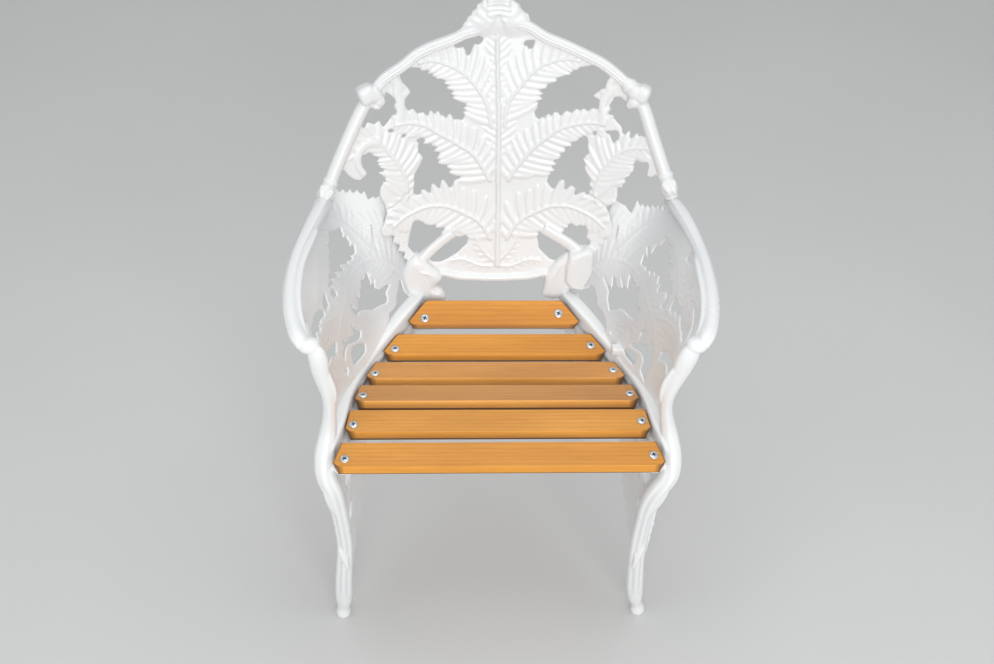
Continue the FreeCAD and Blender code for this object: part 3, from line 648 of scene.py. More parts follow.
# openings of the sides, as fractions along and up the panel
SIDE_HOLES = {
    "left": {
        "SA": [(0.341, 0.809), (0.324, 0.790), (0.298, 0.774), (0.288, 0.777), (0.284, 0.763), (0.290, 0.719),
              (0.290, 0.700), (0.279, 0.688), (0.276, 0.657), (0.278, 0.630), (0.265, 0.615), (0.269, 0.588),
              (0.278, 0.576), (0.295, 0.579), (0.303, 0.564), (0.326, 0.583), (0.329, 0.572), (0.364, 0.604),
              (0.369, 0.590), (0.365, 0.563), (0.407, 0.614), (0.422, 0.626), (0.417, 0.589), (0.449, 0.624),
              (0.462, 0.632), (0.460, 0.611), (0.452, 0.577), (0.467, 0.603), (0.497, 0.626), (0.494, 0.637),
              (0.473, 0.633), (0.468, 0.662), (0.442, 0.669), (0.437, 0.690), (0.414, 0.700), (0.411, 0.723),
              (0.390, 0.736), (0.382, 0.767), (0.358, 0.776), (0.352, 0.796)],
        "SAd": [(0.501, 0.583), (0.487, 0.570), (0.479, 0.545), (0.496, 0.555)],
        "S1": [(0.552, 0.625), (0.558, 0.603), (0.562, 0.578), (0.580, 0.574), (0.581, 0.605), (0.565, 0.620)],
        "S2": [(0.630, 0.605), (0.621, 0.580), (0.657, 0.594), (0.670, 0.590), (0.693, 0.601), (0.698, 0.569),
              (0.719, 0.591), (0.742, 0.587), (0.757, 0.552), (0.766, 0.612), (0.773, 0.642), (0.753, 0.655),
              (0.720, 0.644), (0.700, 0.651), (0.670, 0.636), (0.643, 0.611)],
        "SB": [(0.261, 0.401), (0.265, 0.374), (0.264, 0.346), (0.268, 0.329), (0.261, 0.312), (0.247, 0.322),
              (0.255, 0.295), (0.254, 0.272), (0.238, 0.236), (0.217, 0.219), (0.189, 0.201), (0.207, 0.191),
              (0.218, 0.181), (0.222, 0.153), (0.233, 0.138), (0.253, 0.152), (0.286, 0.181), (0.314, 0.204),
              (0.356, 0.256), (0.389, 0.284), (0.414, 0.294), (0.424, 0.319), (0.425, 0.362), (0.408, 0.317),
              (0.393, 0.308), (0.376, 0.323), (0.363, 0.320), (0.366, 0.360), (0.363, 0.371), (0.350, 0.332),
              (0.333, 0.345), (0.328, 0.360), (0.312, 0.367), (0.303, 0.391), (0.284, 0.385), (0.270, 0.394)],
        "SC": [(0.110, 0.145), (0.110, 0.104), (0.114, 0.064), (0.107, 0.013), (0.079, -0.061), (0.097, -0.067),
              (0.138, -0.043), (0.188, -0.013), (0.223, -0.000), (0.260, 0.007), (0.303, 0.010), (0.275, 0.019),
              (0.253, 0.027), (0.241, 0.051), (0.211, 0.034), (0.180, 0.033), (0.170, 0.067), (0.142, 0.092),
              (0.126, 0.124)],
        "SG": [(0.748, 0.383), (0.713, 0.386), (0.671, 0.366), (0.637, 0.350), (0.635, 0.333), (0.661, 0.313),
              (0.657, 0.283), (0.680, 0.306), (0.709, 0.331), (0.737, 0.333), (0.759, 0.335), (0.760, 0.370)],
        "SF": [(0.580, 0.276), (0.550, 0.244), (0.534, 0.238), (0.528, 0.246), (0.490, 0.230), (0.484, 0.253),
              (0.483, 0.284), (0.464, 0.240), (0.449, 0.199), (0.462, 0.180), (0.489, 0.186), (0.516, 0.206),
              (0.550, 0.229), (0.576, 0.233), (0.603, 0.213), (0.622, 0.195), (0.615, 0.228), (0.589, 0.249)],
        "SE": [(0.534, 0.177), (0.500, 0.155), (0.456, 0.112), (0.459, 0.089), (0.481, 0.072), (0.520, 0.077),
              (0.557, 0.086), (0.579, 0.091), (0.574, 0.123), (0.562, 0.160)],
        "SH": [(0.635, 0.144), (0.638, 0.115), (0.665, 0.100), (0.658, 0.128)],
        "SK": [(0.802, 0.794), (0.791, 0.772), (0.809, 0.752), (0.829, 0.740), (0.827, 0.764), (0.819, 0.788)],
    },
    "right": {
        "SA": [(0.316, 0.659), (0.334, 0.650), (0.343, 0.655), (0.345, 0.693), (0.349, 0.726), (0.363, 0.745),
              (0.369, 0.775), (0.376, 0.805), (0.394, 0.825), (0.409, 0.811), (0.433, 0.821), (0.425, 0.791),
              (0.426, 0.768), (0.445, 0.771), (0.448, 0.739), (0.474, 0.759), (0.477, 0.734), (0.468, 0.691),
              (0.490, 0.696), (0.493, 0.671), (0.523, 0.684), (0.531, 0.658), (0.547, 0.658), (0.545, 0.624),
              (0.555, 0.583), (0.552, 0.536), (0.535, 0.532), (0.536, 0.581), (0.516, 0.610), (0.478, 0.567),
              (0.469, 0.600), (0.452, 0.597), (0.438, 0.622), (0.417, 0.603), (0.401, 0.605), (0.389, 0.574),
              (0.374, 0.590), (0.358, 0.560), (0.349, 0.569), (0.326, 0.561), (0.319, 0.581), (0.317, 0.607),
              (0.331, 0.621)],
        "SAd": [(0.537, 0.907), (0.550, 0.945), (0.566, 0.942), (0.585, 0.947), (0.561, 0.917)],
        "S1": [(0.596, 0.598), (0.594, 0.631), (0.601, 0.650), (0.622, 0.647), (0.645, 0.641), (0.646, 0.618),
              (0.617, 0.616), (0.609, 0.589)],
        "S2": [(0.687, 0.638), (0.720, 0.635), (0.752, 0.642), (0.778, 0.631), (0.783, 0.598), (0.761, 0.580),
              (0.730, 0.603), (0.703, 0.615)],
        "S3": [(0.745, 0.802), (0.775, 0.805), (0.821, 0.831), (0.830, 0.800), (0.830, 0.758), (0.831, 0.716),
              (0.807, 0.746), (0.778, 0.770)],
        "SB": [(0.204, 0.261), (0.222, 0.256), (0.245, 0.263), (0.243, 0.294), (0.237, 0.324), (0.265, 0.300),
              (0.280, 0.311), (0.290, 0.335), (0.273, 0.366), (0.297, 0.349), (0.314, 0.365), (0.303, 0.430),
              (0.323, 0.412), (0.339, 0.426), (0.353, 0.409), (0.367, 0.428), (0.365, 0.396), (0.385, 0.379),
              (0.396, 0.349), (0.413, 0.337), (0.433, 0.350), (0.429, 0.321), (0.433, 0.293), (0.419, 0.271),
              (0.383, 0.254), (0.354, 0.245), (0.320, 0.218), (0.286, 0.165), (0.256, 0.191), (0.238, 0.233)],
        "SC": [(0.041, -0.027), (0.103, 0.055), (0.146, 0.133), (0.167, 0.139), (0.203, 0.105), (0.211, 0.069),
              (0.249, 0.087), (0.276, 0.079), (0.304, 0.056), (0.316, 0.028), (0.298, 0.008), (0.254, -0.004),
              (0.181, -0.033), (0.108, -0.036)],
        "SG": [(0.684, 0.331), (0.702, 0.353), (0.716, 0.381), (0.740, 0.382), (0.770, 0.391), (0.791, 0.377),
              (0.795, 0.325), (0.796, 0.283), (0.772, 0.300), (0.747, 0.318), (0.711, 0.296), (0.691, 0.279),
              (0.688, 0.312)],
        "SF": [(0.484, 0.139), (0.500, 0.168), (0.511, 0.205), (0.513, 0.244), (0.510, 0.269), (0.525, 0.293),
              (0.534, 0.272), (0.530, 0.229), (0.528, 0.205), (0.552, 0.221), (0.579, 0.249), (0.595, 0.288),
              (0.616, 0.272), (0.636, 0.236), (0.652, 0.184), (0.648, 0.138), (0.661, 0.097), (0.671, 0.059),
              (0.642, 0.066), (0.614, 0.088), (0.598, 0.141), (0.574, 0.165), (0.552, 0.167), (0.525, 0.155),
              (0.495, 0.142)],
        "SE": [(0.460, 0.071), (0.480, 0.090), (0.519, 0.109), (0.544, 0.111), (0.558, 0.074), (0.549, 0.057),
              (0.518, 0.055), (0.481, 0.054)],
        "SH": [(0.807, 0.102), (0.817, 0.127), (0.827, 0.082), (0.813, 0.064)],
    },
}


# ------------------------------------------------------------- materials
def nodes_of(name):
    m = bpy.data.materials.new(name)
    m.use_nodes = True
    nt = m.node_tree
    nt.nodes.clear()
    out = nt.nodes.new("ShaderNodeOutputMaterial")
    b = nt.nodes.new("ShaderNodeBsdfPrincipled")
    nt.links.new(b.outputs[0], out.inputs[0])
    return m, nt, b


def mapped(nt, scale=(1, 1, 1), loc=(0, 0, 0), rot=(0, 0, 0)):
    tc = nt.nodes.new("ShaderNodeTexCoord")
    mp = nt.nodes.new("ShaderNodeMapping")
    mp.inputs["Scale"].default_value = scale
    mp.inputs["Location"].default_value = loc
    mp.inputs["Rotation"].default_value = rot
    nt.links.new(tc.outputs["Object"], mp.inputs["Vector"])
    return mp.outputs[0]


def noise(nt, vec, scale, detail=3.0, rough=0.5, dist=0.0):
    n = nt.nodes.new("ShaderNodeTexNoise")
    n.inputs["Scale"].default_value = scale
    n.inputs["Detail"].default_value = detail
    n.inputs["Roughness"].default_value = rough
    n.inputs["Distortion"].default_value = dist
    nt.links.new(vec, n.inputs["Vector"])
    return n.outputs["Fac"]


def ramp(nt, fac, stops):
    r = nt.nodes.new("ShaderNodeValToRGB")
    e = r.color_ramp.elements
    while len(e) < len(stops):
        e.new(0.5)
    for k, (p, c) in zip(e, stops):
        k.position = p
        k.color = tuple(c) + (1,) if len(c) == 3 else c
    nt.links.new(fac, r.inputs[0])
    return r.outputs[0]


def remap(nt, fac, a, b, c, d):
    r = nt.nodes.new("ShaderNodeMapRange")
    r.inputs["From Min"].default_value = a
    r.inputs["From Max"].default_value = b
    r.inputs["To Min"].default_value = c
    r.inputs["To Max"].default_value = d
    nt.links.new(fac, r.inputs["Value"])
    return r.outputs[0]


def mathn(nt, op, a, b=None, c=None):
    n = nt.nodes.new("ShaderNodeMath")
    n.operation = op
    for i, v in enumerate((a, b, c)):
        if v is None:
            continue
        if isinstance(v, (int, float)):
            n.inputs[i].default_value = v
        else:
            nt.links.new(v, n.inputs[i])
    return n.outputs[0]


def mixc(nt, fac, a, b, mode="MIX"):
    n = nt.nodes.new("ShaderNodeMix")
    n.data_type = "RGBA"
    n.blend_type = mode
    for key, v in ((0, fac), (6, a), (7, b)):
        if isinstance(v, (int, float)):
            n.inputs[key].default_value = v
        elif isinstance(v, tuple):
            n.inputs[key].default_value = v if len(v) == 4 else v + (1,)
        else:
            nt.links.new(v, n.inputs[key])
    return n.outputs[2]


def bump(nt, b, height, strength, dist, prev=None):
    n = nt.nodes.new("ShaderNodeBump")
    n.inputs["Strength"].default_value = strength
    n.inputs["Distance"].default_value = dist
    nt.links.new(height, n.inputs["Height"])
    if prev is not None:
        nt.links.new(prev, n.inputs["Normal"])
    nt.links.new(n.outputs[0], b.inputs["Normal"])
    return n.outputs[0]


def make_paint(name="white_paint_cast", sideways_shade=1.0, tone=1.0, rise=1.0, grain=1.0):
    """gloss white paint, brushed over cast iron, with painted shade in its hollows and, if asked, on sideways faces"""
    m, nt, b = nodes_of(name)
    v = mapped(nt)
    cloud = noise(nt, v, 9.0, 4.0, 0.55)
    fine = noise(nt, v, 210.0, 3.0, 0.6)
    pit = noise(nt, v, 620.0, 2.0, 0.5)
    geo = nt.nodes.new("ShaderNodeNewGeometry")
    # painted shade: low pointiness, in hollows and grooves, darkens the paint
    cav = remap(nt, geo.outputs["Pointiness"], 0.39, 0.468, 0.0, 1.0)
    base = ramp(nt, cloud, [(p, tuple(c * tone for c in col)) for p, col in
                            ((0.30, (0.735, 0.750, 0.756)), (0.52, (0.757, 0.768, 0.770)), (0.75, (0.772, 0.777, 0.774)))])
    speck = ramp(nt, fine, [(0.0, (0.93, 0.935, 0.94)), (0.42, (1, 1, 1)), (1.0, (1, 1, 1))])
    base = mixc(nt, grain, base, speck, "MULTIPLY")
    shade = ramp(nt, cav, [(0.0, (0.70, 0.715, 0.72)), (0.6, (0.96, 0.965, 0.965)), (1.0, (1.0, 1.0, 1.0))])
    base = mixc(nt, 0.62, base, shade, "MULTIPLY")
    if rise < 1.0:
        # the paint is slightly darker towards the top of the back, from a little above the seat upwards
        hz = nt.nodes.new("ShaderNodeSeparateXYZ")
        nt.links.new(v, hz.inputs[0])
        base = mixc(nt, remap(nt, hz.outputs[2], 0.50, 0.63, 0.0, 1.0), base,
                    mixc(nt, 1.0, base, (rise, rise * 0.998, rise * 0.995), "MULTIPLY"))
    if sideways_shade < 1.0:
        # painted shade: faces turned sideways, above the seat and towards the back, are darkened
        sp = nt.nodes.new("ShaderNodeSeparateXYZ")
        nt.links.new(geo.outputs["Normal"], sp.inputs[0])
        k = remap(nt, mathn(nt, "ABSOLUTE", sp.outputs[0]), 0.40, 0.66, 0.0, 1.0)
        ht = nt.nodes.new("ShaderNodeSeparateXYZ")
        nt.links.new(v, ht.inputs[0])
        k = mathn(nt, "MULTIPLY", k, remap(nt, ht.outputs[2], 0.42, 0.47, 0.0, 1.0))
        k = mathn(nt, "MULTIPLY", k, remap(nt, ht.outputs[1], -0.17, 0.0, 0.0, 1.0))
        base = mixc(nt, k, base, mixc(nt, 1.0, base, (sideways_shade * 0.985, sideways_shade * 1.0, sideways_shade * 1.015), "MULTIPLY"))
    nt.links.new(base, b.inputs["Base Color"])
    rough = mathn(nt, "ADD", remap(nt, cloud, 0.3, 0.7, 0.24, 0.36), remap(nt, fine, 0.3, 0.8, 0.0, 0.06))
    nt.links.new(rough, b.inputs["Roughness"])
    b.inputs["IOR"].default_value = 1.5
    b.inputs["Coat Weight"].default_value = 0.25
    b.inputs["Coat Roughness"].default_value = 0.12
    h = mathn(nt, "ADD", mathn(nt, "MULTIPLY", noise(nt, v, 95.0, 3.0, 0.5), 0.7), mathn(nt, "MULTIPLY", fine, 0.3))
    p = bump(nt, b, h, 0.16 * grain, 0.0011)
    bump(nt, b, pit, 0.05 * grain, 0.0004, p)
    return m


def make_wood(name, seed, tone, pink=0.0, value=1.0, front=1.0):
    """oiled hardwood with straight grain along the slat"""
    m, nt, b = nodes_of(name)
    v = mapped(nt, (1.0, 1.0, 1.0), (seed * 3.17, seed * 1.31, seed * 0.77))
    st = mapped(nt, (1.1, 24.0, 24.0), (seed * 2.1, seed * 5.3, seed * 1.7))
    warp = noise(nt, mapped(nt, (2.2, 7.0, 7.0), (seed, seed * 2, 0)), 2.2, 3.0, 0.5)
    band = nt.nodes.new("ShaderNodeTexWave")
    band.wave_type = "BANDS"
    band.bands_direction = "Y"
    band.inputs["Scale"].default_value = 1.9
    band.inputs["Distortion"].default_value = 3.2
    band.inputs["Detail"].default_value = 2.5
    band.inputs["Detail Scale"].default_value = 1.3
    band.inputs["Phase Offset"].default_value = seed * 7.7
    nt.links.new(st, band.inputs["Vector"])
    fibre = noise(nt, mapped(nt, (7.0, 260.0, 260.0), (seed, 0, 0)), 2.0, 4.0, 0.62)
    pore = noise(nt, mapped(nt, (22.0, 900.0, 900.0), (seed * 2, 0, 0)), 1.6, 2.0, 0.5)
    wide = noise(nt, mapped(nt, (2.6, 15.0, 15.0), (seed * 4, 0, 0)), 1.4, 3.0, 0.5)
    g = mathn(nt, "ADD", mathn(nt, "MULTIPLY", band.outputs["Fac"], 0.15),
              mathn(nt, "ADD", mathn(nt, "MULTIPLY", fibre, 0.60), mathn(nt, "MULTIPLY", wide, 0.36)))
    r, gg, bb = tone
    col = ramp(nt, g, [(0.26, (r * 0.80, gg * 0.72, bb * 0.60)), (0.42, (r * 0.92, gg * 0.88, bb * 0.82)),
                       (0.56, (r, gg, bb)), (0.78, (min(1, r * 1.10), gg * 1.14, bb * 1.3))])
    if pink:
        col = mixc(nt, pink, col, (0.52, 0.27, 0.17))
    dark = ramp(nt, pore, [(0.0, (0.55, 0.42, 0.32)), (0.34, (0.86, 0.80, 0.74)), (0.46, (1, 1, 1)), (1, (1, 1, 1))])
    col = mixc(nt, 0.55, col, dark, "MULTIPLY")
    streak = ramp(nt, warp, [(0.35, (0.92, 0.90, 0.87)), (0.62, (1.05, 1.05, 1.03))])
    col = mixc(nt, 0.8, col, streak, "MULTIPLY")
    patch = ramp(nt, noise(nt, mapped(nt, (1.0, 3.0, 3.0), (seed * 7, 0, seed)), 3.2, 2.0, 0.5),
                 [(0.34, (0.90, 0.88, 0.85)), (0.52, (1, 1, 1)), (0.70, (1.06, 1.07, 1.10))])
    col = mixc(nt, 0.8, col, patch, "MULTIPLY")
    if value != 1.0:
        col = mixc(nt, 1.0, col, (value, value, value), "MULTIPLY")
    # painted light brightens the front face; dark sawn ends (darker end grain, with painted shadow at the gap to the
    # casting); painted shade on the rear face and in a band along the lower edge
    tone_at = nt.nodes.new("ShaderNodeAttribute")
    tone_at.attribute_name = "tone"
    sep = nt.nodes.new("ShaderNodeSeparateColor")
    nt.links.new(tone_at.outputs["Color"], sep.inputs["Color"])
    if front != 1.0:
        col = mixc(nt, sep.outputs["Green"], col, (front, front * 0.99, front * 0.74), "MULTIPLY")
    col = mixc(nt, sep.outputs["Red"], col, (0.085, 0.034, 0.010))
    nt.links.new(col, b.inputs["Base Color"])
    nt.links.new(remap(nt, fibre, 0.3, 0.7, 0.34, 0.50), b.inputs["Roughness"])
    b.inputs["Specular IOR Level"].default_value = 0.32
    b.inputs["Coat Weight"].default_value = 0.05
    b.inputs["Coat Roughness"].default_value = 0.30
    hh = mathn(nt, "ADD", mathn(nt, "MULTIPLY", fibre, 0.6), mathn(nt, "MULTIPLY", pore, 0.4))
    bump(nt, b, hh, 0.35, 0.0006)
    return m


def make_zinc(name, tint, rough):
    """zinc plated steel with fine turning marks and dull patches"""
    m, nt, b = nodes_of(name)
    v = mapped(nt)
    n1 = noise(nt, v, 320.0, 4.0, 0.6)
    n2 = noise(nt, v, 1400.0, 2.0, 0.5)
    col = ramp(nt, n1, [(0.25, tuple(0.72 * c for c in tint)), (0.55, tint), (0.8, tuple(min(1, 1.1 * c) for c in tint))])
    nt.links.new(col, b.inputs["Base Color"])
    b.inputs["Metallic"].default_value = 1.0
    nt.links.new(remap(nt, n1, 0.3, 0.7, rough - 0.06, rough + 0.10), b.inputs["Roughness"])
    bump(nt, b, n2, 0.25, 0.0002)
    return m


MAT_PAINT = make_paint()
# the side copy paints shade on sideways faces, and the back copy is darker towards its top
MAT_PAINT_SIDE = make_paint("white_paint_cast_side", 0.80, 1.02, 1.0, 0.15)
MAT_PAINT_BACK = make_paint("white_paint_cast_back", 1.0, 1.02, 0.91)
MAT_SCREW = make_zinc("zinc_screw_steel", (0.66, 0.69, 0.71), 0.32)
MAT_BOLT = make_zinc("zinc_bolt_steel", (0.60, 0.62, 0.65), 0.38)


# ------------------------------------------------------- casting finish
def finish_casting(name, bag, voxel, ratio, node, smooth=2, sfac=0.35, mat=None):
    """one closed skin round all pieces of a casting"""
    ob = bpy.data.objects.new(name, bag.mesh(name))
    scene.collection.objects.link(ob)
    r = ob.modifiers.new("skin", "REMESH")
    r.mode = "VOXEL"
    r.voxel_size = voxel * MM
    r.adaptivity = 0.0
    r.use_smooth_shade = True
    s = ob.modifiers.new("ease", "SMOOTH")
    s.factor = sfac
    s.iterations = smooth
    if ratio < 1.0:
        d = ob.modifiers.new("thin", "DECIMATE")
        d.ratio = ratio
    dg = bpy.context.evaluated_depsgraph_get()
    me = bpy.data.meshes.new_from_object(ob.evaluated_get(dg))
    me.name = name
    ob.modifiers.clear()
    old = ob.data
    ob.data = me
    bpy.data.meshes.remove(old)
    # drop crumbs that are not joined to the casting
    drop_crumbs(me)
    for p in me.polygons:
        p.use_smooth = True
    me.materials.clear()
    me.materials.append(mat or MAT_PAINT)
    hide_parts(node)
    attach(ob, "root")
    print(name, len(me.vertices), "vertices", len(me.polygons), "faces")
    return ob


def drop_crumbs(me):
    n = len(me.vertices)
    e = np.zeros(len(me.edges) * 2, np.int32)
    me.edges.foreach_get("vertices", e)
    e = e.reshape(-1, 2)
    lab = np.arange(n)
    for _ in range(400):
        a, b = lab[e[:, 0]], lab[e[:, 1]]
        m = np.minimum(a, b)
        new = lab.copy()
        np.minimum.at(new, e[:, 0], m)
        np.minimum.at(new, e[:, 1], m)
        new = new[new]
        new = new[new]
        if (new == lab).all():
            break
        lab = new
    u, c = np.unique(lab, return_counts=True)
    big = u[np.argmax(c)]
    if len(u) > 1:
        import bmesh
        bm = bmesh.new()
        bm.from_mesh(me)
        bm.verts.ensure_lookup_table()
        bad = [bm.verts[int(i)] for i in np.nonzero(lab != big)[0]]
        print("   loose bits", len(u) - 1, "vertices", len(bad), sorted(c.tolist())[-4:])
        bmesh.ops.delete(bm, geom=bad, context="VERTS")
        bm.to_mesh(me)
        bm.free()
        me.update()


# ---------------------------------------------------------- back casting
RIM_L = [(-46.1, 391.0), (-64.8, 382.6), (-82.7, 376.4), (-105.7, 367.7), (-123.4, 357.4), (-135.2, 347.7),
         (-149.3, 338.7), (-164.9, 328.1), (-178.0, 313.0)]
RIM_R = [(42.7, 401.8), (66.0, 388.1), (90.7, 378.5), (112.3, 369.9), (133.5, 360.9), (151.7, 352.5),
         (168.5, 341.1), (188.0, 325.0), (199.0, 315.0)]
ROD_L = [(-184.0, 306.0), (-194.3, 290.0), (-217.6, 243.2), (-238.9, 195.1), (-246.5, 176.5), (-255.0, 160.0)]
ROD_R = [(204.0, 309.0), (212.8, 292.3), (223.7, 263.3), (237.0, 228.2), (251.5, 189.8), (262.0, 160.0)]


def outline_back():
    right = [(0, 0), (29, 1.5), (60, 5), (86, 11), (100, 4), (128, -6), (150, -4), (155.3, -1.4), (156.5, 16),
             (157.2, 33.4), (156.8, 55.5), (163, 60), (161, 68), (170, 70), (168, 79), (177, 82), (181.2, 89.8),
             (178.4, 107.1), (173.9, 122), (167.5, 133.5), (172, 138.5), (181.5, 142.3), (184.5, 150.3), (183.6, 165.4),
             (189.6, 165.2), (194.6, 181.8), (199.3, 188), (203.1, 196), (204, 207.3), (209.7, 211.7), (213.2, 208.5),
             (223.2, 210.2), (225.6, 204.6), (223.6, 191.3), (226.5, 187.1), (231.4, 187.8), (234.6, 191.1),
             (238.7, 191.7), (246, 196)]
    left = [(0, 0), (-29, 1.5), (-60, 5), (-86, 11), (-100, 4), (-122, -6), (-134, -4), (-141, 8), (-140.4, 17.4),
            (-135.2, 28.9), (-131.5, 38), (-141, 43), (-138, 52), (-149, 56), (-146, 66), (-157, 71), (-154, 81),
            (-165, 86), (-169.8, 101.8), (-164.5, 120), (-167, 134), (-174.4, 149.9), (-173.4, 162), (-168.4, 170.1),
            (-163.1, 178.6), (-172.3, 173.1), (-174.5, 181.1), (-171.9, 191.1), (-174.9, 199.9), (-177, 208.6),
            (-181.6, 215), (-189.4, 219.2), (-198.8, 217.6), (-202.2, 207.9), (-201.8, 194.3), (-198, 190.5),
            (-192.7, 183.9), (-201.6, 177.2), (-210.9, 179.2), (-218.5, 186.2), (-225.9, 197.4), (-232, 207)]
    up_r = [(237, 228.2), (223.7, 263.3), (212.8, 292.3), (201, 313)] + RIM_R[::-1][1:] + [(20, 404)]
    up_l = [(-224, 230), (-217.6, 243.2), (-194.3, 290), (-180, 311)] + RIM_L[::-1][1:] + [(-20, 398)]
    return right + up_r + up_l[::-1] + left[::-1][:-1]


def rim_prof(q, s):
    """moulded front of the rim: three fine ridges between grooves"""
    a = np.abs(np.angle(np.exp(1j * (q - math.pi / 2))))
    b = np.abs(np.angle(np.exp(1j * (q + math.pi / 2))))
    c = np.minimum(a, b)
    g = 0.100 * np.exp(-((c - 0.36) / 0.085) ** 2) + 0.115 * np.exp(-((c - 0.80) / 0.075) ** 2) \
        - 0.030 * np.exp(-(c / 0.16) ** 2)
    return (1 - g) * squared(2.6)(q, s)


def rim_piece(pts, name):
    """moulded rim with fine parallel ridges along its front"""
    b = Bag()
    st = back_bar([(x, h, 0.2) for x, h in pts], 7.8, 8.0)
    k = 0 if abs(pts[0][0]) < abs(pts[-1][0]) else -1
    st[k] = tuple(bk(pts[k][0], pts[k][1], -3.0)) + (4.2, 3.6)
    b.add(*sweep(st, (0, 1, 0), 120, 2.2,
                 rim_prof))
    me = b.mesh(name)
    ob = bpy.data.objects.new(name, me)
    scene.collection.objects.link(ob)
    for p in me.polygons:
        p.use_smooth = True
    me.materials.append(MAT_PAINT_BACK)
    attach(ob, "root")


def back_bar(pts, a, b, ends=1.0):
    """stations on the back's surface"""
    out = []
    for i, p in enumerate(pts):
        P = bk(p[0], p[1], p[2] if len(p) > 2 else 0.0)
        out.append(tuple(P) + (a, b))
    return out


def on_back(x, h, off=0.0):
    return bk(x, h, off)


def back_axes(x, h):
    """unit vectors across, up and towards the sitter"""
    p = bk(x, h)
    return unit(bk(x + 1, h) - bk(x - 1, h)), unit(bk(x, h + 1) - bk(x, h - 1)), unit(bk(x, h, 1) - bk(x, h, -1))


def back_blob(bag, x, h, off, ax, turn=0.0, power=2.0, nu=20, nv=12):
    """rounded lump sitting on the back"""
    X, H, N = back_axes(x, h)
    c, s = math.cos(turn), math.sin(turn)
    R = np.stack([X * c + H * s, -X * s + H * c, N], 1)
    bag.add(*blob(on_back(x, h, off), ax, R, nu, nv, power))


def back_leaf(bag, p, q, width, thick=2.2, off0=3.0, off1=4.0, bend=2.0, vein=0.8, cup=0.0):
    """leaf blade lying on the back from p to q"""
    X, H, N = back_axes(p[0], p[1])
    a, b = on_back(p[0], p[1], off0), on_back(q[0], q[1], off1)
    side = np.cross(N, b - a)
    bag.add(*blade(a, b, side, N, width, thick, bend, vein, 12, cup))


CELL = 1.3
RND, PNT = (2.1, 0.55), (1.45, 0.72)     # rounded and pointed leaf tips
VOX = 1.25


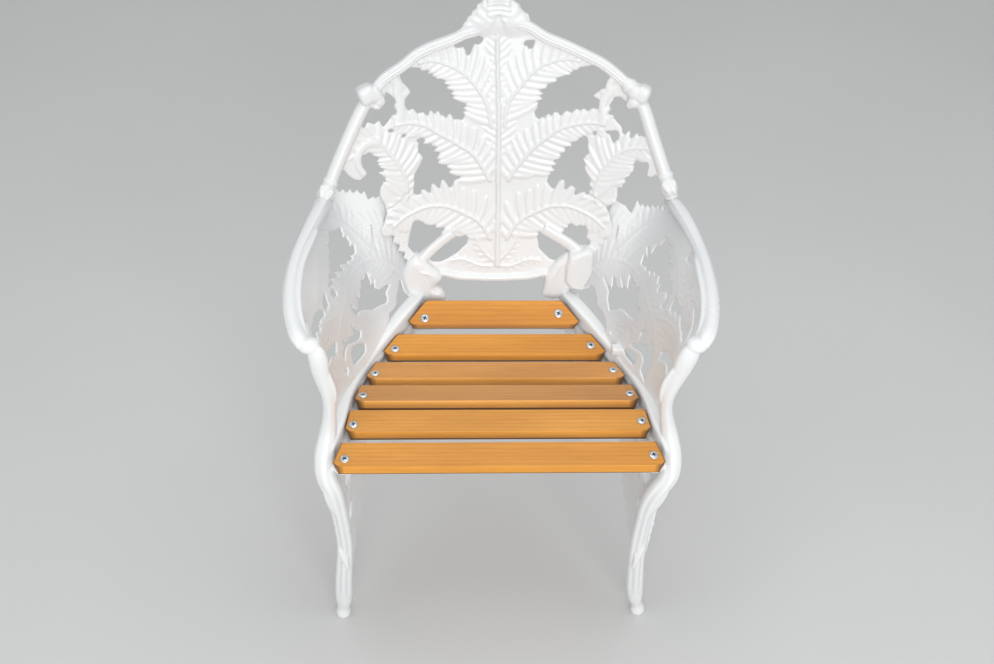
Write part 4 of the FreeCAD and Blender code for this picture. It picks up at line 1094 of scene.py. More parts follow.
def make_back():
    bag = Bag()
    ch = Chart(-282, 282, -26, 456, CELL)
    ch.fill(outline_back())
    crest = [(-54, 372), (-56, 388), (-47, 396), (-45, 404), (-36, 409), (-33, 420), (-22, 424), (-19, 435), (-9, 440),
             (0, 447), (10, 444), (20, 439), (30, 433), (34, 424), (43, 419), (46, 408), (55, 402), (56, 388), (54, 372)]
    ch.fill(crest)
    for k, P in BACK_HOLES.items():
        if not k.startswith("H5"):
            ch.cut(P, 0.4, 0.75)
    for P in ([(159, 251), (177, 254), (180.5, 249), (179.5, 236), (172, 243), (166, 247)],
              [(140.5, 249), (149, 250.5), (149, 245.5), (143, 243.5)],
              [(-152, 252), (-159, 252.5), (-160, 248), (-153, 247.5)],
              [(-134, 243.5), (-140, 243.5), (-140, 239), (-134, 239)]):
        ch.cut(P, 0.0, 0.9)
    # the two outer openings end at the side castings, so only their upper part is cut here
    ch.holes.append(np.array(BACK_HOLES["H5L"]))
    ch.holes.append(np.array(BACK_HOLES["H5R"]))
    ch.begin()
    M = MIDRIB
    # upright frond behind the others
    ch.frond([(6, 200), (4, 250), (2.5, 291.5), (1, 330), (-0.5, 372), (-1.2, 398)],
             [(1, 30, False), (-1, 30, False)], 2.6, 0.25, 1.6, 11.0, 5.3, 1.3, start=4, ang0=66, ang1=50)
    # lowest small leaves at the root
    for sg in (1, -1):
        ch.frond([(3 + sg * 4, 34), (3 + sg * 17, 46), (3 + sg * 30, 68), (3 + sg * 36, 84)],
                 [(sg, 22, False), (-sg, 15, False)], 1.6, 0.35, 1.1, 10.5, 5.2, 1.0, start=4, ang0=60, ang1=40)
        ch.frond([(3 + sg * 6, 24), (3 + sg * 28, 26), (3 + sg * 52, 36), (3 + sg * 70, 34)],
                 [(sg, 13, False), (-sg, 15, False)], 1.5, 0.25, 0.9, 11, 5.2, 0.9, start=5, ang0=62, ang1=45)
    ch.frond(M["M1R"], [(1, 47, True, 12.0, 8.0, RND), (-1, 44, True, 14.0, 12.0, PNT)], 2.3, 0.7, 1.2, 12.2, 5.7, 1.2, start=5, ang0=70, ang1=52)
    ch.frond(M["M1L"], [(-1, 47, True, 12.0, 8.0, RND), (1, 44, True, 14.0, 12.0, PNT)], 2.3, 0.7, 1.2, 12.2, 5.7, 1.2, start=5, ang0=70, ang1=52)
    ch.frond(M["M4R"], [(1, 46, True, 17.0, 13.0, PNT), (-1, 40, True, 12.0, 9.0, RND)], 2.3, 0.75, 1.2, 9.6, 4.6, 1.2, start=5, ang0=66, ang1=56)
    ch.frond(M["M4L"], [(-1, 42, False, 14.0, 9.0, RND), (1, 36, True, 17.0, 12.0, PNT)], 2.3, 0.75, 1.2, 9.6, 4.6, 1.2, start=5, ang0=66, ang1=56)
    ch.frond(M["M2R"], [(1, 36, True, 9.5, 8.0, RND), (-1, 40, True, 11.0, 9.0, PNT)], 2.4, 1.0, 1.2, 11.4, 5.5, 1.3, start=5, ang0=72, ang1=56)
    ch.frond(M["M2L"], [(-1, 36, True, 9.5, 8.0, RND), (1, 40, True, 11.0, 9.0, PNT)], 2.4, 1.0, 1.2, 11.4, 5.5, 1.3, start=5, ang0=72, ang1=56)
    ch.frond(M["M3R"], [(1, 42, True, 16.0, 14.0, RND), (-1, 40, True, 11.0, 8.0, RND)], 2.5, 1.2, 1.3, 12.6, 6.1, 1.4, start=5, ang0=74, ang1=58)
    ch.frond(M["M3L"], [(-1, 42, True, 16.0, 14.0, RND), (1, 40, True, 11.0, 8.0, RND)], 2.5, 1.2, 1.3, 12.6, 6.1, 1.4, start=5, ang0=74, ang1=58)
    ch.flush()
    # stem of the plant
    ch.line([(6.0, 26), (4.8, 133.6), (4.0, 214.1), (2.5, 291.5), (-0.1, 351.5), (-1.3, 384.0)], 3.6, 2.4, 1.5, True,
            0.35, 1.5, 0.0)
    # sprigs that tie the ferns to the rim
    ch.line(M["SPR"] + [(166, 330), (172, 338)], 6.2, 1.5, 1.4, True, 0.1)
    ch.line(M["SPL"] + [(-150, 326), (-156, 333)], 7.2, 1.2, 1.2, True, 0.1)
    for p, q, w in (((158, 300), (148.5, 299.5), 5.5), ((160, 310), (149.0, 313.5), 6.0), ((163, 314), (171, 318), 5.0),
                    ((-144, 300), (-129.0, 305.5), 6.5), ((-145, 312), (-135.5, 317.0), 6.0)):
        ch.leaflet(np.array(p, float), unit(np.array(q, float) - np.array(p, float)),
                   float(np.hypot(q[0] - p[0], q[1] - p[1])), w, 1.4, 1.4, 0.0, 1, 2)
    # hooked tip of the left outer frond
    ch.line([(-177.7, 234.4), (-190.7, 233.3), (-201.0, 224.4), (-205.1, 209.4), (-202, 196), (-197, 188)], 6.5, 1.4, 1.6,
            True, 0.25)
    # narrow gap where the frond tips lap over the outer fronds
    for P in ([(140.9, 149.4), (151.7, 144.8), (166.4, 133.6)], [(-130, 150.2), (-138.1, 146.5), (-140.7, 140.6),
                                                                (-150.6, 131.7), (-164.5, 125.5)]):
        S = smooth_line(P, 2.0)
        for a, b in zip(S[:-1], S[1:]):
            w = ch.win(min(a[0], b[0]), max(a[0], b[0]), min(a[1], b[1]), max(a[1], b[1]), 4)
            x, y = ch.X[w] - a[0], ch.Y[w] - a[1]
            e = b - a
            t = np.clip((x * e[0] + y * e[1]) / (e @ e), 0, 1)
            d = np.hypot(x - t * e[0], y - t * e[1])
            ch.D[w] = np.minimum(ch.D[w], d - 0.85)
    ch.build(bag, lambda x, y, z: bk(x, y, z), lambda x, y, z: bk(x, y, -z), 2.0, 2.8, 1.0, 0.45, 2.8, 1)
    # rim from collar to collar
    mid = [(-20, 398.0), (0, 402.0), (20, 404.0)]
    pts = RIM_L[::-1] + mid + RIM_R
    core = back_bar([(x, h, 0.0) for x, h in pts], 6.6, 6.4)
    core = [c[:4] + ((2.4 if abs(p[0]) < 30 else 6.4),) for c, p in zip(core, pts)]
    bag.add(*sweep(core, (0, 1, 0), 32, 3.0, squared(2.6)))
    rim_piece(RIM_L[::-1] + [(-34, 394.0), (-20, 396.5)], "back_rim_moulding_left")
    rim_piece([(16, 402.5), (29, 404.5)] + RIM_R, "back_rim_moulding_right")
    for rod in (ROD_L, ROD_R):
        bag.add(*sweep(back_bar(rod, 10.0, 10.0), (0, 1, 0), 32, 3.0,
                       lambda q, s: 1 + 0.010 * np.sin(9 * s * TAU) * np.cos(q)))
    # upper collars
    back_blob(bag, -190, 308.5, 1.0, (13.5, 14.0, 14.5), 0.42, 3.6)
    back_blob(bag, -180, 309.0, 0.8, (11.0, 13.0, 13.5), 0.50, 3.2)
    back_blob(bag, -173, 299.0, 2.5, (9.0, 9.5, 10.0), 0.3, 2.8)
    back_blob(bag, -177, 290.0, 4.5, (7.5, 4.5, 6.5), -0.2, 2.4)
    back_blob(bag, 210.5, 313.5, 0.5, (11.0, 13.5, 14.5), -0.35, 3.2)
    back_blob(bag, 201, 316, 0.5, (11.5, 12.0, 14.5), -0.2, 2.8)
    back_blob(bag, 200, 301.5, 3.0, (10.0, 9.0, 11.0), 0.35, 2.7)
    back_blob(bag, 194, 297, 4.5, (5.5, 6.5, 7.5), 0.2, 2.2)
    d = unit(on_back(199, 315) - on_back(168.5, 341.1))
    bag.add(*lathe(on_back(189, 324.5, 0.5), d, [(-8, 8.4), (-4, 9.6), (-0.5, 11.2), (2.0, 12.4), (3.6, 12.2), (4.6, 10.6),
                                                (6.5, 12.0), (9, 12.4), (12, 11.0)], (0, 1, 0), 44))
    # lower collars where the rods run into the arms
    for rod, sg in ((ROD_L, -1), (ROD_R, 1)):
        a, b = on_back(*rod[-3]), on_back(*rod[-1])
        d = unit(b - a)
        e = on_back(*rod[-2])
        bag.add(*lathe(e, d, [(-9, 9.6), (-6.5, 11.6), (-4, 12.4), (-2, 11.6), (0, 10.8), (4, 11.4), (10, 12.6), (17, 13.0),
                              (22, 12.0), (27, 9.0)], (0, 1, 0), 36))
        n = unit(np.cross(d, np.array([1.0, 0, 0])))
        if n[1] > 0:
            n = -n
        sde = np.cross(n, d)
        for k, (u, v, L, w) in enumerate(((2, -7, 17, 4.2), (1, 0, 20, 4.6), (3, 7, 16, 4.2), (9, -4, 18, 4.0),
                                          (10, 5, 17, 4.0))):
            p = e + d * u + n * 9.5 + sde * v
            q = e + d * (u + L) + n * 12.0 + sde * (v * 0.9)
            bag.add(*blade(p, q, sde, n, w, 2.4, 2.2, 0.7, 10))
    make_crest(bag)
    # branches from the knuckles to the root of the fern
    for P, hw in (([(-64, 82), (-76, 73.5), (-94.4, 58.1), (-106.6, 45.6), (-122, 28)], 8.1),
                  ([(76, 90), (91.7, 80.8), (114.5, 68), (125.7, 59.5), (140, 46)], 9.0)):
        bag.add(*sweep(back_bar([(x, h, 2.0) for x, h in P], hw, 6.0), (0, 1, 0), 36, 3.0, squared(2.8)))
    # rolled lower edge with a skirt
    low = [(-97, 9), (-86, 14), (-60, 8), (-29, 4.5), (0, 3), (29, 4.5), (60, 8), (86, 14), (99, 9)]
    bag.add(*sweep(back_bar([(x, h, 1.0) for x, h in low], 6.0, 6.4), (0, 1, 0), 28, 3.0))
    # bosses for the upper frame bolts
    for sg in (1, -1):
        X, H, N = back_axes(sg * 165, 92)
        bag.add(*lathe(on_back(sg * 165, 92, 2.5), -N, [(0, 9.4), (9.0, 9.2), (11.4, 8.8)], (0, 0, 1), 36))
    # knuckles where back, rail and rear leg meet
    for sg in (1, -1):
        bag.add(*blob((sg * 114, 366, 482), (21.0, 14.0, 22.0), None, 28, 18, 2.4))
    make_knuckles(bag)
    # rear legs
    for sg in (1, -1):
        st = [(sg * s[0],) + tuple(s[1:]) for s in REAR_LEG]
        bag.add(*sweep(st, (0, 1, 0), 36, 3.0, leg_prof, True))
    return finish_casting("back_casting_cast", bag, VOX, 0.62, "back_casting", mat=MAT_PAINT_BACK)


def pillow(bag, ch, y0, front, back, r, lean=0.0, z0=480.0, low=-1.6):
    """domed plate across the chair, from a chart in x and z"""
    ch.build(bag, lambda x, z, o: np.stack([x, y0 + lean * (z - z0) - o, z], -1),
             lambda x, z, o: np.stack([x, y0 + lean * (z - z0) + o, z], -1), front, back, 1.0, 0.0, r, 2, low)


def make_crest(bag):
    """leafy top of the back: a broad domed leaf with soft bands"""
    cc = Chart(-72, 72, 366, 456, CELL)
    edge = [(-60, 384), (-62, 393), (-55, 396.5), (-50.7, 400.5), (-51.5, 404), (-46.3, 408), (-44.5, 414), (-39.0, 417.5),
            (-37.5, 423), (-31.5, 426.5), (-31.5, 432), (-25.5, 434.5), (-22, 440), (-12, 443), (0, 445), (9, 443.5), (14, 440),
            (22, 438.5), (28, 433.5), (31, 428), (36, 423.5), (40, 417), (43, 411), (48, 404.5), (56, 398), (62, 396),
            (60, 384), (44, 376), (22, 372), (0, 370), (-22, 372), (-46, 377)]
    cc.fill(round_poly(edge, 1.5, 0.8))
    cc.cut(BACK_HOLES["H1L"], 0.8, 0.75)
    cc.cut(BACK_HOLES["H1R"], 0.8, 0.75)
    cc.begin()
    for x0, h0, x1, h1, w, lv in ((-14, 386, -56, 394, 7, 0.3), (-14, 390, -50, 405, 7, 0.6), (-12, 397, -43, 416, 7, 1.0),
                                  (-9, 406, -35, 427, 7, 1.4), (-6, 415, -25, 437, 6.5, 1.8), (14, 386, 58, 395, 8, 0.3),
                                  (14, 390, 51, 405, 9, 0.8), (12, 398, 43, 418, 10, 1.3), (9, 408, 32, 432, 9.5, 1.8)):
        a, b = np.array([x0, h0], float), np.array([x1, h1], float)
        L = float(np.hypot(*(b - a)))
        cc.leaflet(a, (b - a) / L, L, w, lv, 1.3, 0.0, 1 if x1 > 0 else -1, False, 14.0, (1.8, 0.6))
    for h, wd, lv in ((436.5, 14, 2.9), (429.0, 15, 2.6), (421.5, 14, 2.2)):
        cc.line([(-wd, h - 2.5), (0, h), (wd, h - 2.5)], 3.2, lv, 1.1, False)

    def fade(y):
        k = np.clip((y - 373) / 38.0, 0, 1)
        return k * k * (3 - 2 * k)
    cc.build(bag, lambda x, y, z: bk(x, y, z * np.maximum(0.25, fade(y)) + (3.4 * np.exp(-(x / 34.0) ** 4) + 0.8) * fade(y)),
             lambda x, y, z: bk(x, y, -z * np.maximum(0.35, fade(y))), 3.6, 4.2, 1.0, 0.4, 5.5, 2)
    # curled tip
    bag.add(*sweep(back_bar([(-15, 437, 6.5), (-7, 441, 8.0), (1, 442, 8.5), (8, 441, 8.0), (15, 437.5, 6.5)], 4.2, 4.6),
                   (0, 1, 0), 24, 2.0))


def make_knuckles(bag):
    # left: a leafy body with two lobes towards the middle
    k = Chart(-160, -60, 426, 546, CELL)
    k.fill(round_poly([(-122, 528), (-104, 513), (-85.9, 497), (-80, 487), (-83, 479), (-90.8, 472), (-80, 464), (-73.5, 452),
                       (-76.3, 440), (-105, 439), (-128, 441), (-137, 451), (-142, 466), (-145, 483), (-143, 497),
                       (-134.9, 516)], 2.0, 0.6))
    k.begin()
    k.line([(-124, 522), (-112, 506), (-103, 488), (-100, 468), (-99, 450)], 1.8, -0.4, -1.1, False)
    k.line([(-100, 472), (-94, 466), (-88, 463)], 1.4, -0.3, -0.9, False)
    k.line([(-112, 500), (-100, 496), (-90, 490)], 1.5, 0.5, 0.8, False)
    pillow(bag, k, 359.0, 13.5, 12.0, 13.0, 0.10)
    # right: a rounded block with a lobe beside it
    k = Chart(70, 172, 436, 552, CELL)
    k.fill(round_poly([(116, 531), (144, 543), (154.0, 538), (155.0, 505), (154.0, 474), (138, 468), (119, 472), (111, 484),
                       (111, 512)], 2.0, 0.7))
    k.begin()
    k.line([(122, 478), (121, 500), (124, 520)], 1.6, 0.2, 0.7, False)
    pillow(bag, k, 355.5, 15.0, 14.0, 6.0, 0.10)
    k = Chart(60, 150, 430, 540, CELL)
    k.fill(round_poly([(114, 530), (98, 515), (87, 499), (81, 486), (79, 468), (76, 451), (92, 445), (108, 447), (122, 462),
                       (128, 480), (126, 506), (120, 522)], 2.0, 0.6))
    k.begin()
    k.line([(106, 508), (99, 490), (95, 472), (90, 456)], 1.6, -0.3, -0.9, False)
    pillow(bag, k, 361.5, 12.0, 12.0, 11.0, 0.10)


def leg_prof(q, s):
    """cast leg: flat flanks, a soft rib down the front and back"""
    c = np.abs(np.angle(np.exp(2j * q))) / 2
    rib = 0.13 * np.exp(-((np.abs(c - math.pi / 2)) / 0.24) ** 2)
    gro = 0.125 * np.exp(-((np.abs(c - math.pi / 2) - 0.56) / 0.20) ** 2)
    k = (0.25 + 0.75 * np.clip((s - 0.37) / 0.07, 0, 1)) * np.clip((s - 0.03) / 0.05, 0, 1) * np.clip((0.90 - s) / 0.05, 0, 1)
    return 1 + (rib - gro) * k


# ---------------------------------------------------------- side castings
ARM = [(257, 352, 633, 11, 10), (265, 305, 643, 12.5, 9), (275, 250, 645.5, 11.2, 8.5),
       (282.8, 195, 645, 10.2, 8.5), (285.2, 135, 642, 10.3, 8.5), (281, 85, 636.5, 10.5, 8.5),
       (274.2, 56, 631.5, 10.8, 8.5), (267.5, 39, 628, 11, 8.5), (260.5, 27, 624, 9, 6.5)]
LEG_L = [(251, 27, 623, 8, 4.5), (246, 28, 613, 11.5, 8), (242, 36, 571, 12, 9), (236.5, 48, 524, 10, 10),
         (237, 58, 476, 9.8, 11), (241.5, 57, 438, 12.5, 13), (245.8, 41, 412, 15.4, 16), (245, 25, 388, 14.5, 16),
         (239, 22, 368, 14.5, 15), (233, 28, 331, 13, 14), (229.5, 38, 276, 12.2, 13), (227.8, 48, 220, 12.2, 13),
         (231.2, 58, 162, 12.8, 14), (236.5, 70, 92, 13.8, 14), (239.3, 79, 42, 12.4, 12), (240.8, 82.5, 25, 10.2, 9.5),
         (241.5, 84.2, 14, 11, 11), (242, 85, 6, 12, 12), (242, 85, 0, 10.5, 10.5)]
LEG_R = [(252, 27, 623, 8, 4.5), (247.5, 28, 612, 12.5, 8), (239.5, 36, 570, 12.5, 9), (231, 48, 521, 9.8, 10),
         (233.5, 58, 474, 9.5, 11), (242, 57, 434, 12.5, 13), (245.3, 40, 409, 15.0, 16), (243, 25, 386, 14.5, 16),
         (234.5, 22, 368, 14.5, 15), (222.5, 28, 331, 13, 14), (218.6, 38, 276, 12.2, 13), (218.4, 48, 220, 12.6, 13),
         (220.6, 58, 162, 12.8, 14), (226.4, 70, 92, 13.6, 14), (233, 79, 42, 11.4, 12), (237, 82.5, 25, 9.4, 9.5),
         (239.3, 84.2, 14, 11, 11), (240.2, 85, 6, 12, 12), (240.2, 85, 0, 10.5, 10.5)]
RAIL = [(120, 340, 462, 11, 15), (136, 318, 449, 11, 15), (151, 298, 436, 11, 15),
        (187, 244, 420, 11, 15), (209.5, 188, 420, 11, 15), (222.7, 130, 427, 11, 15),
        (232.6, 70, 424, 11, 15), (242, 28, 415, 12, 15)]
REAR_LEG = [(113, 372, 468, 15, 14), (117, 379, 440, 14, 14), (127, 394, 385, 12.5, 13),
            (141, 417, 300, 11.5, 12), (155, 445, 190, 11.5, 12.5),
            (169, 475, 90, 12, 13), (177.5, 495, 34, 11, 11.5),
            (179.5, 500, 20, 9, 9.5), (181, 503.5, 10, 11.5, 11.5),
            (181.5, 505, 4, 12, 12), (181.5, 505, 0, 10.5, 10.5)]
BLOCKS = [(182.0, 269, 443.5), (184.5, 234, 440.5)]
SLATS = [
    ("slat_1_rear", 293.2, 439.6, 32.0, 106.4, 133.5, 104.0),
    ("slat_2", 238.7, 426.5, 10.2, 150.2, 170.6, 149.5),
    ("slat_3", 181.8, 429.0, -4.6, 181.5, 194.4, 178.5),
    ("slat_4", 124.4, 436.5, -7.9, 201.6, 208.2, 195.5),
    ("slat_5", 64.6, 432.2, 6.4, 213.4, 218.4, 206.0),
    ("slat_6_front", 5.8, 421.9, 10.5, 222.4, 232.8, 216.0),
]
SLAT_W, SLAT_T, LEDGE_T = 41.0, 18.2, 6.0
SIDE_REAR = {
    "right": [(.0, .955), (.04, .82), (.07, .62), (.075, .40), (.085, .25), (.10, .10), (.06, -.02)],
    "left": [(-.012, .94), (.01, .80), (.012, .6), (.01, .4), (.02, .25), (.05, .10), (.03, -.02)],
}
SIDE_TOP = {
    "right": [(.092, .80), (.096, .863), (.104, .884), (.115, .890), (.128, .880), (.141, .868), (.155, .862), (.164, .841),
              (.183, .815), (.184, .864), (.183, .916), (.190, .921), (.205, .880), (.209, .910), (.224, .884), (.228, .915),
              (.243, .893), (.246, .928), (.263, .904), (.264, .942), (.281, .918), (.284, .955), (.303, .930),
              (.324, .935), (.324, .960), (.36, 1.0)],
    "left": [(.068, .865), (.073, .903), (.082, .932), (.097, .908), (.109, .925), (.129, .896), (.128, .937), (.131, .983),
             (.148, .952), (.156, .997), (.174, .968), (.180, 1.008), (.197, .980), (.204, 1.017), (.219, .994),
             (.225, 1.034), (.241, 1.018), (.25, 1.05)],
}
SIDE_RIBS = [
    # points along a frond, leaflet lengths above and below, height of the relief
    ([(.10, .22), (.15, .36), (.21, .45), (.30, .49), (.40, .47), (.50, .42), (.58, .36), (.64, .28)], 42, 36, 1.0),
    ([(.06, .55), (.12, .66), (.19, .72), (.26, .74)], 34, 34, 0.9),
    ([(.20, .52), (.24, .70), (.30, .86), (.40, .90), (.50, .82), (.58, .74), (.63, .66)], 26, 26, 1.2),
    ([(.55, .45), (.63, .52), (.70, .54), (.78, .50), (.85, .42)], 22, 22, 1.3),
    ([(.36, .14), (.42, .22), (.46, .34), (.50, .44)], 22, 22, 1.0),
    ([(.62, .04), (.70, .14), (.78, .22), (.85, .30)], 26, 26, 0.9),
    ([(.26, .03), (.34, .10), (.40, .14), (.45, .15)], 18, 18, 0.8),
]


def slat_frame(row):
    a = math.radians(row[3])
    return np.array([0, row[1], row[2]], float), np.array([0, math.cos(a), math.sin(a)]), \
        np.array([0, math.sin(a), -math.cos(a)])


def hull6(a, b):
    """closed solid between two outlines with the same number of points"""
    n = len(a)
    V = np.array(list(a) + list(b), float)
    F = [tuple(range(n - 1, -1, -1)), tuple(range(n, 2 * n))]
    for i in range(n):
        j = (i + 1) % n
        F.append((i, j, n + j, n + i))
    return V, F


def arm_shift(y):
    k = min(1.0, max(0.0, (y - 120.0) / 190.0))
    return 5.0 * k * k * (3 - 2 * k)


def arm_prof(q, s):
    """arm: rounded top with a soft step near each edge"""
    c = np.abs(np.angle(np.exp(1j * q)))
    g = 0.055 * np.exp(-((c - 0.72) / 0.12) ** 2) + 0.055 * np.exp(-((c - (math.pi - 0.72)) / 0.12) ** 2)
    return 1 - g * np.clip(s / 0.06, 0, 1)


def make_side(sg, name):
    bag = Bag()
    ch = Chart(-28, 362, -26, 206, CELL)
    rear, top = SIDE_REAR[name], SIDE_TOP[name]
    low = [(.06, -.10), (.30, -.09), (.50, -.08), (.75, -.06), (.93, -.04), (.92, .12), (.905, .25), (.905, .7), (.92, 1.0)]
    poly = top + [(.6, 1.0), (.925, 1.0)][:1] + low[::-1] + rear[::-1]
    ch.fill([(s * US, t * VS) for s, t in poly])
    for k, P in SIDE_HOLES[name].items():
        ch.cut([(s * US, t * VS) for s, t in P], {"SAd": 3.0, "S1": 2.8, "S2": 2.8, "S3": 2.8, "SK": 2.0}.get(k, 0.5), 0.97,
               0.0 if k in ("SAd", "SK", "SC", "SE", "SH") else 0.42)
    ch.begin()
    for P, la, lb, lvl in SIDE_RIBS:
        ch.frond([(s * US, t * VS) for s, t in P], [(1, la, False), (-1, lb, False)], 2.2, lvl, 1.3, 10.0, 4.9, 1.1,
                 start=5, ang0=64, ang1=46)
    ch.flush()
    amt = [0, 12, 21, 22, 11, 0] if name == "right" else [0, 9, 15, 17, 9, 0]

    def skin(x, y, z):
        # the panel's front edge bends in to the post
        p = sd(x, y, z, sg)
        k = np.clip((np.asarray(x) / US - 0.76) / 0.15, 0, 1)
        p[..., 0] -= sg * np.interp(np.asarray(y) / VS, [0, .2, .4, .6, .8, 1.0], amt) * k * k * (3 - 2 * k)
        return p
    ch.build(bag, skin, lambda x, y, z: skin(x, y, -z), 1.4, 1.7, 1.0, 0.30, 2.0, 1)

    def X(st, f=None):
        out = []
        for s in st:
            dx = f(s) if f else 0.0
            out.append((sg * s[0] + dx,) + tuple(s[1:]))
        return out
    arm = X(ARM, lambda s: arm_shift(s[1]))
    bag.add(*sweep(arm, (0, 0, 1), 40, 3.0, arm_prof))
    bag.add(*sweep(X(LEG_L if name == "left" else LEG_R), (0, 1, 0), 44, 2.5, leg_prof, True))
    rail = [(112, 358, 452, 8.5, 9), (120.5, 341, 451, 10.5, 11.5), (136, 318, 445, 11.5, 14)] + RAIL[2:-1] \
        + [(240, 46, 416, 10, 12.5), (243.5, 36, 402, 9, 11)]
    bag.add(*sweep(X(rail), (0, 0, 1), 56, 3.0, squared(5.0)))
    if name == "right":
        for x, y, z in BLOCKS:
            bag.add(*blob((x, y, z), (8.0, 8.4, 6.5), None, 28, 18, 6.0))
    # raised inner edge along the arm and down the post
    if name == "left":
        S = [(254.5, 40, 620), (246, 32, 603), (236.5, 34, 583), (230, 38, 556), (226.5, 44, 532), (228, 52, 505)]
    else:
        S = [(253.5, 40, 620), (243, 31, 603), (231.5, 33, 580), (221.5, 38, 553), (219.5, 46, 524), (223, 54, 500)]
    S = [(267, 296, 639, 2.4, 2.4), (263.4, 250, 645, 3.3, 3.3), (271.0, 195, 645.5, 3.6, 3.6), (273.2, 135, 642.5, 3.6, 3.6),
         (269.0, 85, 636.3, 3.6, 3.6), (262, 57, 629.5, 3.6, 3.6)] + [p + (3.5, 4.0) for p in S]
    if name == "right":
        S = [(273.5, 204, 643.5, 1.6, 1.6), (272.6, 180, 644, 3.2, 3.2)] + S[3:]
    bag.add(*sweep(X(S, lambda s: arm_shift(s[1])), (0, 1, 0), 20, 2.5))
    # leaves cast on the front of the leg
    m = np.array([sg, 1.0, 1.0])
    for p, q, sde, w, th, bd in (((243, 10, 372), (231, 26.5, 292), (1, 0, 0), 8.0, 3.0, 2.0),
                                 ((246.5, 15, 366), (237, 31, 288), (1, 0.8, 0), 5.0, 2.6, 1.0),
                                 ((233, 16, 352), (222, 34, 276), (1, -0.8, 0), 5.0, 2.6, 1.0),
                                 ((234.5, 38.5, 214), (223, 45.5, 152), (1, 0.2, 0.4), 5.2, 2.8, 1.5),
                                 ((227, 40, 196), (235, 54, 122), (1, 0.1, 0), 5.5, 2.6, 1.0)):
        if name == "right":
            p = (p[0] - np.interp(p[2], [42, 92, 162, 340, 372], [6, 10, 10.4, 10.6, 5]), p[1], p[2])
            q = (q[0] - np.interp(q[2], [42, 92, 162, 340, 372], [6, 10, 10.4, 10.6, 5]), q[1], q[2])
        bag.add(*blade(np.array(p, float) * m, np.array(q, float) * m, np.array(sde, float) * m, (0, -1.0, -0.15), w, th, bd,
                       1.2, 16))
    # heel where the arm turns down into the post
    bag.add(*blob((sg * 254.5, 31, 622), (14.5, 12.5, 10.5), None, 28, 16, 2.2))
    # cove under the arm where the openwork joins it
    S = [(257, 330, 627, 5.0, 6), (266.5, 280, 633, 5.0, 6), (279, 220, 636, 5.0, 6), (281.5, 165, 634, 5.0, 6),
         (278, 110, 629, 5.0, 6), (271, 72, 623, 5.0, 6), (261, 46, 615, 5.0, 6)]
    if name == "right":
        S = [(281.5, 150, 633.5, 4.0, 5)] + S[4:]
    bag.add(*sweep(X(S, lambda s: arm_shift(s[1])), (0, 0, 1), 24, 3.0))
    # ledge with lugs under the slat ends
    prof = []
    for row in reversed(SLATS):
        o, e, d = slat_frame(row)
        p = o + d * SLAT_T
        q = p + e * SLAT_W
        prof += [(p[1], p[2]), (q[1], q[2])]
    py = [a for a, b in prof]
    pz = [b for a, b in prof]

    def tip_x(y):
        T = [(360.0, 92.0)] + [(r[1] + 6, r[5]) for r in SLATS] + [(-20.0, 238.0)]
        ys = [t[0] for t in T][::-1]
        xs = [t[1] for t in T][::-1]
        return float(np.interp(y, ys, xs))
    plan = [(r[0], r[1]) for r in reversed(RAIL)] + [(104, 345)]
    for row in SLATS:
        o, e, d = slat_frame(row)
        yc = (o + e * (SLAT_W * 0.40) + d * SLAT_T)[1]
        xs = row[6]
        plan += [(tip_x(yc + 13) - 7, yc + 13), (xs - 9, yc + 12), (xs - 13, yc + 6), (xs - 13, yc - 6), (xs - 9, yc - 12),
                 (tip_x(yc - 13) - 7, yc - 13)]
    lc = Chart(84, 256, 0, 356, 1.8)
    lc.fill(round_poly(plan, 2.0))
    lc.begin()

    def top_z(x, y, z):
        h = np.interp(y, py, pz)
        return np.stack([sg * x, y, h - 0.35 + 0 * z], -1)

    def low_z(x, y, z):
        h = np.interp(y, py, pz)
        return np.stack([sg * x, y, h - LEDGE_T + 0.15 + 0 * z], -1)
    lc.build(bag, top_z, low_z, 1.0, 1.0, 0, 0, 2.0, 0)
    make_web(bag, sg)
    make_joint(bag, sg)
    ob_name = "side_casting_%s_cast" % name
    node = "side_casting_%s" % name
    return finish_casting(ob_name, bag, VOX * 0.9, 0.55, node, 4, 0.5, MAT_PAINT_SIDE)


def make_web(bag, sg):
    """fern leaf bracket behind the front leg"""
    web = [(30, 412), (90, 414), (150, 410), (205, 410), (224, 404), (229, 380), (221, 366), (232, 352), (219, 340),
           (227, 326), (211, 316), (219, 300), (206, 293), (213, 278), (199, 270), (203, 254), (189, 250), (191, 234),
           (176, 230), (176, 214), (162, 212), (160, 196), (147, 194), (144, 178), (131, 176), (127, 160), (115, 158),
           (111, 142), (100, 138), (98, 122), (88, 110), (80, 92), (68, 96), (60, 140), (50, 200), (40, 260), (30, 330)]
    wc = Chart(18, 244, 82, 424, CELL * 1.15)
    wc.fill(web)
    for P in ([(70, 330), (86, 350), (104, 338), (100, 312), (84, 300)], [(118, 366), (142, 372), (150, 352), (132, 342)],
              [(78, 244), (92, 258), (104, 246), (96, 224), (84, 220)]):
        wc.cut(P)
    wc.begin()
    wc.frond([(60, 110), (66, 160), (72, 220), (92, 290), (130, 350), (170, 384), (205, 396)],
             [(1, 50, False), (-1, 66, False)], 2.6, 1.0, 1.5, 12.0, 5.9, 1.6, start=8, ang0=58, ang1=48)
    wc.frond([(100, 300), (124, 290), (150, 296), (180, 318), (204, 338)], [(1, 30, False), (-1, 30, False)], 2.2, 1.3, 1.4,
             11.0, 5.4, 1.4, start=5, ang0=62, ang1=48)
    wc.flush()
    kk = -0.205

    def out(x, y, z):
        return np.stack([sg * (236 + kk * (x - 30) + z), x, y], -1)
    wc.build(bag, lambda x, y, z: out(x, y, z), lambda x, y, z: out(x, y, -z), 1.9, 1.9, 1.0, 0.8, 2.4, 1)


